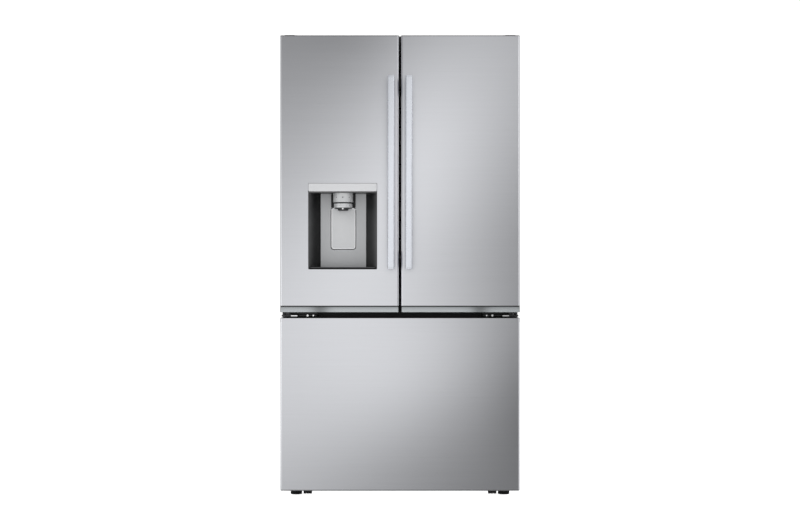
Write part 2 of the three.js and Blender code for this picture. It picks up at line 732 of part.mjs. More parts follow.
// Assembly: group, node name, solid and finish
function assemble() {
  add('cabinet', 'outer_case', outerCase(), 'paintedCase');
  add('cabinet', 'rear_panel', rearPanel(), 'galvanised');
  add('cabinet', 'machine_cover', machineCover(), 'galvanised');
  add('cabinet', 'insulation', insulation(), 'foam');
  add('cabinet', 'fridge_liner', fridgeLiner(), 'whiteLiner');
  add('cabinet', 'freezer_liner', freezerLiner(), 'whiteLiner');
  add('cabinet', 'evaporator', evaporator(), 'galvanised');
  add('cabinet', 'compressor', compressor(), 'compressorPaint');
  add('cabinet', 'condenser_fan', condenserFan(), 'blackPlastic');
  add('cabinet', 'rear_rollers', rearRollers(), 'blackPlastic');
  const towerX = [-airTower.half, airTower.half];
  const tower = block(towerX, [room.back - airTower.depth, room.back - fit], airTower.z);
  add('cabinet', 'air_tower', tower, 'whiteLiner');
  for (const [name, x, frontY, z] of [
    ['upper_left_shelf', [-398, -4], -52, shelfZ.upper],
    ['upper_right_shelf', [4, 398], -70, shelfZ.upper],
    ['middle_shelf', [-398, 398], -66, shelfZ.middle],
    ['crisper_cover', [-398, 398], -136, shelfZ.crisper],
  ]) {
    add('cabinet', name, shelf(x, [frontY, shelfBackY], z), 'clearPlastic');
  }
  add('cabinet', 'upper_basket', upperFreezerBasket(), 'clearPlastic');

  for (const [side, hand] of [[-1, 'left'], [1, 'right']]) {
    const door = `${hand}Door`;
    add('cabinet', `${hand}_top_hinge`, topHinge(side), 'hingeSteel');
    add('cabinet', `${hand}_hinge_cover`, hingeCover(side), 'blackPlastic');
    add('cabinet', `${hand}_center_hinge`, centerHinge(side), 'hingeSteel');
    add('cabinet', `${hand}_foot`, levellingFoot(side), 'rubber');
    add('cabinet', `front_${hand}_roller`, frontRoller(side), 'blackPlastic');
    add('cabinet', `${hand}_drawer_rail`, rail(side, fixedRail), 'galvanised');
    add('cabinet', `${hand}_mid_rail`, rail(side, midRail), 'galvanised');
    add('cabinet', `${hand}_crisper`, crisperDrawer(side), 'clearPlastic');
    add(door, `${hand}_door_skin`, doorSkin(side), 'stainless');
    add(door, `${hand}_door_liner`, side > 0 ? doorCore(side) : leftDoorCore(), 'whiteLiner');
    add(door, `${hand}_door_gasket`, gasket(onSide(side, [22, 430]), [713, 1744]), 'greyGasket');
    add(door, `${hand}_door_trim`, doorTrim(side), 'satinAluminium');
    add(door, `${hand}_handle`, doorHandle(side), 'satinAluminium');
  }

  add('leftDoor', 'dispenser_housing', dispenserHousing(), 'darkGloss');
  add('leftDoor', 'dispenser_fascia', dispenserFascia(), 'satinAluminium');
  add('leftDoor', 'dispenser_spout', dispenserSpout(), 'chrome');
  add('leftDoor', 'dispenser_paddle', dispenserPaddle(), 'satinAluminium');
  add('leftDoor', 'drip_tray', dripTray(), 'blackPlastic');
  for (const { name, x, frontY } of spoutButtons) {
    const face = [frontY, frontY + button.length];
    add('leftDoor', name, barY(button.radius, x, face, spout.z, 12), 'satinAluminium');
  }
  add('leftDoor', 'ice_compartment', iceCompartment(), 'whiteLiner');
  add('leftDoor', 'left_door_bin', doorBin(-1, 334, -150, [770, 842]), 'clearPlastic');
  add('leftDoor', 'mullion_flap', mullionFlap(), 'greyGasket');
  add('rightDoor', 'upper_door_bin', doorBin(1, 372, -96, [1330, 1440]), 'clearPlastic');
  add('rightDoor', 'lower_door_bin', doorBin(1, 372, -96, [985, 1100]), 'clearPlastic');
  add('rightDoor', 'bottom_door_bin', doorBin(1, 334, -150, [770, 880]), 'clearPlastic');

  add('freezerDrawer', 'drawer_skin', bentFront([-half, half], drawerZ), 'stainless');
  add('freezerDrawer', 'drawer_liner', drawerCore(), 'whiteLiner');
  add('freezerDrawer', 'drawer_gasket', gasket([-430, 430], [58, 682]), 'greyGasket');
  add('freezerDrawer', 'lower_basket', lowerFreezerBasket(), 'clearPlastic');
}

assemble();

export default fridge;
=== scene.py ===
# French door refrigerator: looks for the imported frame.
# Lengths are in millimetres until makePiece puts them into metres. The front faces -Y and +Z is up.
import math

import bmesh
import bpy
import numpy as np
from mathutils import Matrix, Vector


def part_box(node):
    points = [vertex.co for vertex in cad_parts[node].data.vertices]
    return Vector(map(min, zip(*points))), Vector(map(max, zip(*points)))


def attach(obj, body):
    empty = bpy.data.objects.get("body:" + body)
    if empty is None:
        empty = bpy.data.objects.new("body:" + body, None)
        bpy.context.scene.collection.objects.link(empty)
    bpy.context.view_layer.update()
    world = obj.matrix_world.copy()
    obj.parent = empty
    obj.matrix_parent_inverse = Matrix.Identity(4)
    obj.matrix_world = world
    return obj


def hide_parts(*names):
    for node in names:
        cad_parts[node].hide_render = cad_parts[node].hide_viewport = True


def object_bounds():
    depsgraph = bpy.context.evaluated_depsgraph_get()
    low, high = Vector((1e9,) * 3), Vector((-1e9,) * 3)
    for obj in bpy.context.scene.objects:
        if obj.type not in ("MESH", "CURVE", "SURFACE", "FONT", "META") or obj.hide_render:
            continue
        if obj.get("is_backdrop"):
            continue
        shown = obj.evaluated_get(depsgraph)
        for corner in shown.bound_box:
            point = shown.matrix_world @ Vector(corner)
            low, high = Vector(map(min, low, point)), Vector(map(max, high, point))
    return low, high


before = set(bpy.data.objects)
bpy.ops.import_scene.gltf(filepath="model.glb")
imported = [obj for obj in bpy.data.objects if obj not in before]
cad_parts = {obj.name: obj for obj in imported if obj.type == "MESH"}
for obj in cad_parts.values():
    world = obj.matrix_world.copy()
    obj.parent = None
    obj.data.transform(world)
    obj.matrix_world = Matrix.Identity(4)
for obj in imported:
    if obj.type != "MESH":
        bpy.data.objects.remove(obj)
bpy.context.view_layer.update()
print("frame:", len(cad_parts), "nodes")

mm = 0.001
hands = {"left": -1, "right": 1}


# Spans and outlines

def boxOf(node):  # the node's x, y and z spans
    low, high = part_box(node)
    return [(low[i] / mm, high[i] / mm) for i in range(3)]


def grow(span, by):  # a span moved outwards at both ends
    return span[0] - by, span[1] + by


def around(middle, half):  # a span by its middle
    return middle - half, middle + half


def onSide(side, near, far):  # a span of distances from the centre line
    return (near, far) if side > 0 else (-far, -near)


def place(points, depth, plane):
    # Flat points (a, b) stood in a plane at a depth: front is x, z at y; plan is x, y at z;
    # side is y, z at x.
    a, b = points[..., 0], points[..., 1]
    d = np.full_like(a, depth)
    return np.stack({"front": (a, d, b), "plan": (a, b, d), "side": (d, a, b)}[plane], -1)


def roundedLoop(across, up, radius, steps=4, far=None):
    # Rectangle whose corners are quarter circles; the two upper corners take their own radius, far.
    far = radius if far is None else far
    radii = np.array([radius, far, far, radius])[:, None]
    centre = np.array([(across[1] - radius, up[0] + radius), (across[1] - far, up[1] - far),
                       (across[0] + far, up[1] - far), (across[0] + radius, up[0] + radius)])
    angle = np.radians(np.array([-90, 0, 90, 180])[:, None] + np.linspace(0, 90, steps + 1))
    return np.stack([centre[:, :1] + radii * np.cos(angle), centre[:, 1:] + radii * np.sin(angle)],
                    -1).reshape(-1, 2)


# Surfaces, each of which returns its points and its faces

def grid(points, closeU=False, closeV=False, caps=(False, False)):
    # Four-sided faces between neighbours (u, v) of a grid of points, with flat caps on its first
    # and last rows.
    nu, nv = points.shape[:2]
    u, v = np.meshgrid(np.arange(nu - (not closeU)), np.arange(nv - (not closeV)), indexing="ij")
    u2, v2 = (u + 1) % nu, (v + 1) % nv
    faces = np.stack([u * nv + v, u2 * nv + v, u2 * nv + v2, u * nv + v2], -1).reshape(-1, 4).tolist()
    if caps[0]:
        faces.append(list(range(nv))[::-1])
    if caps[1]:
        faces.append(list(range((nu - 1) * nv, nu * nv)))
    return points.reshape(-1, 3), faces


def loft(rings, plane="front", steps=4, caps=(True, True), closed=False, far=None):
    # Skin over rounded rectangles (across, up, radius, depth), one after the other.
    rows = [place(roundedLoop(across, up, max(radius, 0.05), steps, far), depth, plane)
            for across, up, radius, depth in rings]
    return grid(np.array(rows), closeU=closed, closeV=True, caps=(False, False) if closed else caps)


def insetRings(across, up, rows):
    # Rings for loft, drawn in from the same two spans. Each row is (inset, radius, depth).
    return [(grow(across, -inset), grow(up, -inset), radius, depth) for inset, radius, depth in rows]


def softBox(x, y, z, edge=1.0, radius=2.0, plane="front", steps=3):
    # Box with rounded corners, whose near and far edges turn through quarter circles of size edge.
    across, up, depth = {"front": (x, z, y), "plan": (x, y, z), "side": (y, z, x)}[plane]
    turn = np.radians(np.linspace(0, 90, 4))
    near = [(edge * (1 - math.sin(t)), depth[0] + edge * (1 - math.cos(t))) for t in turn]
    back = [(inset, depth[0] + depth[1] - d) for inset, d in near[::-1]]
    rings = [(grow(across, -i), grow(up, -i), radius - i, d) for i, d in near + back]
    return loft(rings, plane, steps)


def tub(x, y, z, radius, draft, wall=3.0):
    # Open tub: up the outside, over the rim and down the inside. Its walls lean out in proportion to
    # height, by draft from bottom to top.
    def ring(inset, level):
        by = -inset - draft * (z[1] - level) / (z[1] - z[0])
        return grow(x, by), grow(y, by), radius - inset, level

    outside = [(6, z[0]), (1.8, z[0] + 1.8), (0, z[0] + 6), (0, z[1] - 9)]
    lip = [(0, z[1] - 8), (0, z[1] - 0.6), (0.6, z[1]), (wall - 0.6, z[1]), (wall, z[1] - 0.6)]
    inside = [(wall, z[0] + wall + 5), (wall + 1.8, z[0] + wall + 1.5), (wall + 6, z[0] + wall)]
    return loft([ring(*step) for step in outside + lip + inside], "plan", 5)


def turned(centre, profile, plane="plan", steps=32):
    # Profile of (radius, depth) turned about the axis through centre, square to the plane.
    angle = np.linspace(0, 2 * math.pi, steps, endpoint=False)
    circle = np.stack([np.cos(angle), np.sin(angle)], -1)
    rows = [place(np.array(centre, float) + radius * circle, depth, plane) for radius, depth in profile]
    return grid(np.array(rows), closeV=True)


def prism(outline, depths, plane):
    # Closed outline carried straight between two depths.
    outline = np.array(outline, float)
    return grid(np.array([place(outline, d, plane) for d in depths]), closeV=True, caps=(True, True))


def holedSheet(us, vs, holes, depth, plane, fillet=0.0):
    # Flat sheet on a grid of lines us by vs, without the cells that lie in holes. With a fillet, each
    # hole's corner cell keeps the piece outside a quarter circle.
    us = sorted(set(us) | {c + s for h in holes for c, s in cornerLines(h[0], fillet)})
    vs = sorted(set(vs) | {c + s for h in holes for c, s in cornerLines(h[1], fillet)})
    a, b = np.meshgrid(us, vs, indexing="ij")
    points, faces = grid(place(np.stack([a, b], -1), depth, plane))
    middle = points[np.array(faces)].mean(1)
    axes = {"front": (0, 2), "plan": (0, 1), "side": (1, 2)}[plane]
    inside = np.zeros(len(faces), bool)
    for u, v in holes:
        inside |= ((middle[:, axes[0]] > u[0]) & (middle[:, axes[0]] < u[1])
                   & (middle[:, axes[1]] > v[0]) & (middle[:, axes[1]] < v[1]))
    faces = [f for f, gone in zip(faces, inside) if not gone]
    patches = [(points, faces)]
    if fillet:
        for u, v in holes:
            loop = roundedLoop(u, v, fillet, 4).reshape(4, 5, 2)
            corners = [(u[1], v[0]), (u[1], v[1]), (u[0], v[1]), (u[0], v[0])]
            for arc, corner in zip(loop, corners):
                piece = place(np.vstack([arc, corner]), depth, plane)
                patches.append((piece, [list(range(6))]))
    return patches


def cornerLines(span, fillet):
    return [(span[0], 0), (span[0], fillet), (span[1], -fillet), (span[1], 0)]


def arc(centre, radius, start, end, steps=5):
    # Points of a circle between two angles in degrees.
    angle = np.radians(np.linspace(start, end, steps + 1))
    return [(centre[0] + radius * math.cos(t), centre[1] + radius * math.sin(t)) for t in angle]


# Pieces

def makePiece(name, body, parts, replaces=(), thick=0.0, smooth=38):
    # parts lists (look's name, patches). Doubles are merged, faces are turned outwards, and a sheet
    # gets its thickness to both sides.
    points, faces, lookOf, start = [], [], [], 0
    mesh = bpy.data.meshes.new(name)
    for index, (look, patches) in enumerate(parts):
        mesh.materials.append(looks[look])
        for patchPoints, patchFaces in patches:
            points.append(patchPoints)
            faces += [[start + i for i in face] for face in patchFaces]
            lookOf += [index] * len(patchFaces)
            start += len(patchPoints)
    mesh.from_pydata((np.vstack(points) * mm).tolist(), [], faces)
    mesh.polygons.foreach_set("material_index", lookOf)
    shell = bmesh.new()
    shell.from_mesh(mesh)
    bmesh.ops.remove_doubles(shell, verts=shell.verts, dist=2e-6)
    bmesh.ops.recalc_face_normals(shell, faces=shell.faces)
    shell.to_mesh(mesh)
    shell.free()
    piece = bpy.data.objects.new(name, mesh)
    bpy.context.scene.collection.objects.link(piece)
    if thick:
        wall = piece.modifiers.new("thickness", "SOLIDIFY")
        wall.thickness, wall.offset, wall.use_even_offset = thick * mm, 0, True
        view = bpy.context.evaluated_depsgraph_get()
        mesh = bpy.data.meshes.new_from_object(piece.evaluated_get(view))
        mesh.name = name
        piece.modifiers.clear()
        piece.data = mesh
    mesh.shade_smooth()
    mesh.set_sharp_from_angle(angle=math.radians(smooth))
    piece.modifiers.new("flatFaces", "WEIGHTED_NORMAL").keep_sharp = True
    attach(piece, body)
    if replaces:
        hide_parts(*replaces)
    return piece


# Looks

class Field:  # one socket of a material's nodes; arithmetic on it adds Math nodes
    def __init__(self, tree, socket):
        self.tree, self.socket = tree, socket

    def node(self, kind, settings=None, inputs=None, output=0):
        made = self.tree.nodes.new(kind)
        for key, value in (settings or {}).items():
            setattr(made, key, value)
        for key, value in (inputs or {}).items():
            if isinstance(value, Field):
                self.tree.links.new(value.socket, made.inputs[key])
            else:
                made.inputs[key].default_value = value
        return Field(self.tree, made.outputs[output])

    def maths(self, operation, *others):
        return self.node("ShaderNodeMath", {"operation": operation}, dict(enumerate((self, *others))))

    def axis(self, index):  # x, y or z of a vector
        return self.node("ShaderNodeSeparateXYZ", inputs={0: self}, output=index)

    def __add__(self, other):
        return self.maths("ADD", other)

    def __sub__(self, other):
        return self.maths("SUBTRACT", other)

    def __rsub__(self, other):
        return self.node("ShaderNodeMath", {"operation": "SUBTRACT"}, {0: other, 1: self})

    def __mul__(self, other):
        return self.maths("MULTIPLY", other)

    def __truediv__(self, other):
        return self.maths("DIVIDE", other)

    __radd__ = __add__
    __rmul__ = __mul__


def noise(spot, scale, stretch=(1, 1, 1), detail=2.0):  # finer along an axis the more it is stretched
    stretched = spot.node("ShaderNodeVectorMath", {"operation": "MULTIPLY"}, {0: spot, 1: stretch})
    return spot.node("ShaderNodeTexNoise", inputs={"Vector": stretched, "Scale": scale, "Detail": detail})


def scaled(spot, colour, factor):
    return spot.node("ShaderNodeVectorMath", {"operation": "SCALE"}, {0: colour, "Scale": factor})


def tinted(spot, colour, amount, pattern):
    # The colour, lighter and darker by amount as the pattern goes from 0 to 1.
    return scaled(spot, colour, (pattern - 0.5) * (2 * amount) + 1)


def bell(offset):  # exp(-offset^2)
    return (offset * offset * -1).maths("EXPONENT")


def bump(height, distance):
    return height.node("ShaderNodeBump", inputs={"Height": height, "Distance": distance})


def makeLook(name, colour, roughness, metallic=0.0, pattern=None, constants=None):
    # pattern(spot) returns the sockets that vary over the surface; spot is the object's own coordinates
    look = bpy.data.materials.new(name)
    look.use_nodes = True
    tree = look.node_tree
    shader = tree.nodes["Principled BSDF"]
    spot = Field(tree, tree.nodes.new("ShaderNodeTexCoord").outputs["Object"])
    sockets = {"Base Color": (*colour, 1), "Roughness": roughness, "Metallic": metallic}
    sockets.update(constants or {})
    sockets.update(pattern(spot) if pattern else {})
    for key, value in sockets.items():
        if isinstance(value, Field):
            tree.links.new(value.socket, shader.inputs[key])
        else:
            shader.inputs[key].default_value = value
    look.diffuse_color = (*colour, 1)
    return look


def brushed(name, colour, roughness, metallic=1.0, tint=0.05, relief=0.006):
    # Fine streaks along X, from a noise squeezed hard in Z, with a coarser one under it.
    def pattern(spot):
        fine = noise(spot, 1.0, (9, 60, 900))
        coarse = noise(spot, 1.0, (2.5, 20, 160))
        streak = fine * 0.55 + coarse * 0.45
        return {"Base Color": tinted(spot, colour, tint, streak),
                "Roughness": streak * 0.12 + (roughness - 0.06), "Normal": bump(fine, relief * mm)}
    return makeLook(name, colour, roughness, metallic, pattern)


def satin(name, colour, roughness, metallic=0.0, tint=0.03, size=60.0, relief=0.01, constants=None):
    # Even surface with a faint mottle and a fine grain.
    def pattern(spot):
        mottle = noise(spot, size)
        grain = noise(spot, 1400.0)
        return {"Base Color": tinted(spot, colour, tint, mottle),
                "Roughness": mottle * 0.08 + (roughness - 0.04), "Normal": bump(grain, relief * mm)}
    return makeLook(name, colour, roughness, metallic, pattern, constants)


def recessShade(name, deep, near):
    # Gloss in painted shade: near black deep in the recess, lightening towards its front edge as the square
    # of the way forward.
    edge = {"start": 0.285, "reach": 0.05}

    def pattern(spot):
        way = (spot.axis(1) * -1 - edge["start"]).maths("MAXIMUM", 0.0) / edge["reach"]
        shades = {0: way * way, 6: (*deep, 1), 7: (*near, 1)}
        return {"Base Color": spot.node("ShaderNodeMix", {"data_type": "RGBA"}, shades, 2)}
    return makeLook(name, near, 0.3, 0.0, pattern, {"Specular IOR Level": 0.25})


def trimShade(name, colour, roughness):
    # Bright strip with a painted reflection, a soft dark patch on each door, exp(-((|x| - middle) /
    # width)^2), and painted shade along its upper edge, which darkens by exp(-(topZ - z) / fade).
    # depth is how dark the painted reflection gets, top how dark the painted shade at the upper edge gets
    patch = {"middle": 0.303, "width": 0.034, "depth": 0.6, "topZ": 0.728, "fade": 0.011, "top": 0.45}

    def pattern(spot):
        paintedReflection = bell((spot.axis(0).maths("ABSOLUTE") - patch["middle"]) / patch["width"]) * patch["depth"]
        below = (patch["topZ"] - spot.axis(2)) / patch["fade"]
        upper = (below * -1).maths("EXPONENT") * patch["top"]
        streak = noise(spot, 1.0, (9, 60, 900))
        return {"Base Color": scaled(spot, colour, (1.08 - paintedReflection) * (1 - upper)),
                "Roughness": streak * 0.08 + (roughness - 0.04)}
    return makeLook(name, colour, roughness, 0.45, pattern)


def clear(name, colour, alpha, roughness):
    # See-through, with a faint haze.
    def pattern(spot):
        haze = noise(spot, 25.0)
        return {"Roughness": haze * 0.06 + roughness, "Alpha": haze * 0.04 + alpha}
    return makeLook(name, colour, roughness, 0.0, pattern)


# Each finish has its kind, colour, roughness and metallic, then its tint, and for satin the size of
# its mottle, its relief in mm and any other fixed socket. A clear one has alpha and roughness.
finishes = {
    "frontSteel": (brushed, (0.596, 0.604, 0.63), 0.3),
    "handleSatin": (satin, (0.585, 0.605, 0.65), 0.26, 0.8, 0.015),
    "handleEnd": (satin, (0.25, 0.255, 0.27), 0.35, 0.5),
    "trimSteel": (trimShade, (0.345, 0.364, 0.376), 0.24),
    "darkSeamAndShade": (satin, (0.016, 0.0165, 0.017), 0.5),
    "fasciaSatin": (brushed, (0.5, 0.505, 0.515), 0.3, 0.45, 0.02),
    # painted shade: the deep colour at the back of the recess, the near colour at its front
    "recessPaintedShade": (recessShade, (0.002, 0.002, 0.0022), (0.068, 0.0685, 0.07)),  # deep and near colours
    "recessPlate": (satin, (0.33, 0.335, 0.343), 0.32, 0.3),
    "paddleSatin": (satin, (0.45, 0.455, 0.463), 0.3, 0.35),
    "paddleRim": (satin, (0.66, 0.665, 0.675), 0.22, 0.4),
    "spoutSatin": (satin, (0.36, 0.365, 0.37), 0.36, 0.1),
    "spoutChrome": (satin, (0.41, 0.415, 0.423), 0.26, 0.25, 0.01, 60, 0.002),
    "markGrey": (satin, (0.08, 0.082, 0.085), 0.45),
    "flangeDarkPaintAndShade": (satin, (0.012, 0.012, 0.013), 0.55, 0.0, 0.03, 25),
    "caseGrey": (satin, (0.13, 0.135, 0.14), 0.42, 0.1, 0.03, 25, 0.03),
    "galvanised": (satin, (0.5, 0.515, 0.53), 0.4, 0.75, 0.09, 35),
    "hingeSteel": (brushed, (0.45, 0.46, 0.47), 0.32, 0.9, 0.04),
    "hingePaintedShade": (satin, (0.05, 0.051, 0.053), 0.35, 0.6),
    "boltBright": (satin, (0.85, 0.855, 0.86), 0.14, 0.9, 0.01, 60, 0.001),
    "linerWhite": (satin, (0.73, 0.74, 0.745), 0.3, 0.0, 0.03, 8, 0.02),
    "foamCream": (satin, (0.72, 0.62, 0.36), 0.85, 0.0, 0.12, 90, 0.4),
    "finMetal": (satin, (0.66, 0.68, 0.7), 0.35, 0.8, 0.06),
    "potBlack": (satin, (0.022, 0.022, 0.024), 0.3, 0.0, 0.03, 60, 0.04),
    "blackPlastic": (satin, (0.011, 0.011, 0.012), 0.5, 0.0, 0.03, 40, 0.03, {"Specular IOR Level": 0.25}),
    "footRubber": (satin, (0.006, 0.006, 0.0065), 0.8, 0.0, 0.03, 50, 0.05, {"Specular IOR Level": 0.1}),
    "gasketGrey": (satin, (0.22, 0.225, 0.23), 0.6, 0.0, 0.03, 30, 0.02),
    "flapPaintedShade": (satin, (0.014, 0.0145, 0.015), 0.5, 0.0, 0.03, 30),
    "shelfGlass": (clear, (0.8, 0.92, 0.89), 0.22, 0.02),
    "clearTub": (clear, (0.86, 0.9, 0.93), 0.3, 0.06),
    "tubRim": (satin, (0.7, 0.72, 0.74), 0.25),
    "lampPanel": (satin, (0.9, 0.91, 0.93), 0.4),
    "hemPaintedShade": (satin, (0.1, 0.102, 0.106), 0.4, 0.3),
}
looks = {name: kind(name, *values) for name, (kind, *values) in finishes.items()}
print("looks:", len(looks))


# Doors

door = {"sheet": 1.2, "corner": 8.0, "rows": 3, "hem": 7.0, "openingRadius": 4.0, "openingGap": 0.5}


def bentFront(x, y, z, hole=None):
    # Plan profile of a sheet that runs forward, round a corner, across the front and back again.
    half = door["sheet"] / 2
    x, front, back = grow(x, -half), y[0] + half, y[1] - half
    r = door["corner"] - half
    left = [(x[0] + door["hem"], back), (x[0], back)] + arc((x[0] + r, front + r), r, 180, 270)
    right = arc((x[1] - r, front + r), r, 270, 360) + [(x[1], back), (x[1] - door["hem"], back)]
    levels = set(np.linspace(*z, door["rows"]).tolist())
    if hole:
        levels |= {c + s for c, s in cornerLines(hole[1], door["openingRadius"])}
    levels = sorted(levels)
    sides = [grid(np.array([place(np.array(edge), level, "plan") for level in levels]))
             for edge in (left, right)]
    return sides + holedSheet([x[0] + r, x[1] - r], levels, [hole] if hole else [], front, "front",
                              door["openingRadius"] if hole else 0)


housingSpan = boxOf("dispenser_housing")
fasciaSpan = boxOf("dispenser_fascia")
# The left front's opening runs from just above the dispenser's floor to the top of its fascia
opening = (grow(fasciaSpan[0], door["openingGap"]),
           (housingSpan[2][0] + 4.3, fasciaSpan[2][1] + door["openingGap"]))

for hand, side in hands.items():
    x, y, z = boxOf(f"{hand}_door_skin")
    makePiece(f"{hand}_door_front", f"{hand}_door",
              [("frontSteel", bentFront(x, y, z, opening if side < 0 else None))],
              [f"{hand}_door_skin"], thick=door["sheet"])

drawer = {"sheetLow": 3.2, "sheetHigh": 1.5, "capLow": 3.6, "capHigh": 1.9, "coreBack": -205.0,
          "rimX": (-394, 394), "rimZ": (100, 646), "rimWidth": 20.0,
          "groove": {"x": (-300, 300), "y": (-323, -292), "z": 662.0},
          "armX": (376.0, 382.7), "armZ": (242.0, 266.0)}
x, y, z = boxOf("drawer_skin")
sheetZ = (z[0] + drawer["sheetLow"], z[1] - drawer["sheetHigh"])
# The drawer's rolled bottom edge is dark grey as painted shade, in place of lit steel
hem = [(grow(x, -i), (y[0] + 0.3 + i, y[1]), door["corner"] - i, level)
       for i, level in [(1.6, z[0] - 0.9), (0.6, z[0] - 0.4), (0.3, z[0] + 0.6), (0.3, z[0] + 3.4)]]
makePiece("drawer_front", "freezer_drawer",
          [("frontSteel", bentFront(x, y, sheetZ))], ["drawer_skin"], thick=door["sheet"])
makePiece("drawer_hem", "freezer_drawer", [("hemPaintedShade", [loft(hem, "plan", 5)])])

caps = {"seamZ": 729.3, "trimBack": 4.3, "seamBack": 2.0, "backRadius": 1.5}
innerDoor = {"lean": 5.0, "width": 18.0, "floor": 2.0, "skin": 1.6, "x": (48.5, 394), "z": (745, 1700),
             "leftBack": -205.0}
# Section of a door seal, as (distance in from its outer edge, depth)
sealProfile = [(0.0, 0.1), (0.0, 3.4), (2.2, 4.6), (2.2, 6.0), (0.2, 7.6), (0.0, 9.2), (1.2, 10.9),
               (14.8, 10.9), (16.0, 9.2), (15.8, 7.6), (13.8, 6.0), (13.8, 4.6), (16.0, 3.4), (16.0, 0.1)]


def capRing(x, y, inset, level):
    return grow(x, -inset), (y[0] + inset, y[1] - 0.4 * inset), door["corner"] - inset, level


def innerPanel(x, z, y, innerX, innerZ, width):
    # Inner panel of a door, as rings from its edge over the flat sealing face, up the leaning side of the
    # raised rim, over the rim, and down to the floor inside it. width is the rim's, with its lean.
    base, top = y
    lean, floor = innerDoor["lean"], base + innerDoor["floor"]
    edge = [(0.4, 7, base - 11), (0.4, 7, base - 3), (1.4, 6, base - 0.8), (3.4, 5, base - 0.8)]
    rim = [(0, 24, base - 0.8), (1.2, 23, base + 1), (lean, 20, top - 4.5), (lean + 1.4, 19, top - 1.4),
           (lean + 4.5, 17, top - 0.8), (width - 3.4, 14, top - 0.8), (width, 12, top - 3.6),
           (width + 2, 11, floor + 2), (width + 5, 9, floor)]
    return loft(insetRings(x, z, edge) + insetRings(innerX, innerZ, rim), "front", 6, caps=(False, True))


def seal(x, y, z):
    # The seal's section, carried round its rounded frame.
    rings = insetRings(x, z, [(inset, 17 - inset, y[0] + depth) for inset, depth in sealProfile])
    return loft(rings, "front", 5, closed=True)


for hand, side in hands.items():
    x, y, z = boxOf(f"{hand}_door_skin")
    coreY, coreZ = boxOf(f"{hand}_door_liner")[1:]
    gasket = boxOf(f"{hand}_door_gasket")
    backY = gasket[1][0] - 0.3
    top = [capRing(x, (y[0], backY), i, level) for i, level in
           [(0.5, z[1] + 0.3), (0, z[1] + 0.8), (0, coreZ[1] - 0.9), (0.3, coreZ[1] - 0.3), (1, coreZ[1])]]
    trimmed, seam = (y[0] + caps["trimBack"], backY), (y[0] + caps["seamBack"], backY)
    bottom = [capRing(x, trimmed, 0.8, coreZ[0]), capRing(x, trimmed, 0, coreZ[0] + 0.8),
              capRing(x, trimmed, 0, caps["seamZ"]), capRing(x, seam, 0, caps["seamZ"]),
              capRing(x, seam, 0, z[0] - 0.8), capRing(x, seam, 0.5, z[0] - 0.3)]
    makePiece(f"{hand}_door_end_caps", f"{hand}_door",
              [("darkSeamAndShade", [loft(rings, "plan", 5, far=caps["backRadius"]) for rings in (top, bottom)])])
    innerBack = coreY[1] if side > 0 else innerDoor["leftBack"]
    inner = innerPanel(grow(x, -1.8), grow(z, -0.6), (backY, innerBack), onSide(side, *innerDoor["x"]),
                       innerDoor["z"], innerDoor["width"])
    makePiece(f"{hand}_door_inner", f"{hand}_door", [("linerWhite", [inner])],
              [f"{hand}_door_liner"], thick=innerDoor["skin"])
    makePiece(f"{hand}_door_seal", f"{hand}_door", [("gasketGrey", [seal(*gasket)])],
              [f"{hand}_door_gasket"])

    trimX, trimY, trimZ = boxOf(f"{hand}_door_trim")
    rings = [((trimY[0] + i, trimY[1]), grow(trimZ, -i * 0.5), 2.6, d)
             for i, d in [(0.8, trimX[0]), (0.2, trimX[0] + 0.5), (0, trimX[0] + 1.2),
                          (0, trimX[1] - 1.2), (0.2, trimX[1] - 0.5), (0.8, trimX[1])]]
    makePiece(f"{hand}_bottom_trim", f"{hand}_door",
              [("trimSteel", [loft(rings, "side", 5)])], [f"{hand}_door_trim"])
print("doors")

x, y, z = boxOf("drawer_skin")
gasket = boxOf("drawer_gasket")
coreY = boxOf("drawer_liner")[1]
backY = gasket[1][0] - 0.3
inside = grow(x, -1.4)
frontY = (y[0] + 1.6, backY)
groove = drawer["groove"]
z = (z[0] + drawer["capLow"], z[1] - drawer["capHigh"])
topRings = [(inside, frontY, 6.4, z[1] - 27), (inside, frontY, 6.4, z[1] - 1),
            (grow(inside, -0.7), (y[0] + 2.3, backY - 0.4), 6, z[1] - 0.4)]
grooveRings = [(grow(groove["x"], by), grow(groove["y"], by), 8 + by, level)
               for by, level in [(1.5, z[1] - 0.4), (0.4, z[1] - 0.9), (0, z[1] - 2.4),
                                 (0, groove["z"] + 4), (-4, groove["z"] + 0.2)]]
baseRings = [(inside, frontY, 6.4, level) for level in (z[0], z[0] + 10.4)]
makePiece("drawer_end_caps", "freezer_drawer",
          [("darkSeamAndShade", [loft(topRings + grooveRings, "plan", 5), loft(baseRings, "plan", 5)])])
inner = innerPanel(grow(x, -1.8), (z[0], z[1] - 1.2), (backY, drawer["coreBack"]), drawer["rimX"],
                   drawer["rimZ"], drawer["rimWidth"])
arms = [softBox(onSide(side, *drawer["armX"]), (backY + 0.5, coreY[1]), drawer["armZ"], 0.8, 1.5)
        for side in hands.values()]
makePiece("drawer_inner", "freezer_drawer", [("linerWhite", [inner])], ["drawer_liner"],
          thick=innerDoor["skin"])
makePiece("drawer_slide_arms", "freezer_drawer", [("galvanised", arms)])
makePiece("drawer_seal", "freezer_drawer", [("gasketGrey", [seal(*gasket)])],
          ["drawer_gasket"])
print("drawer front")


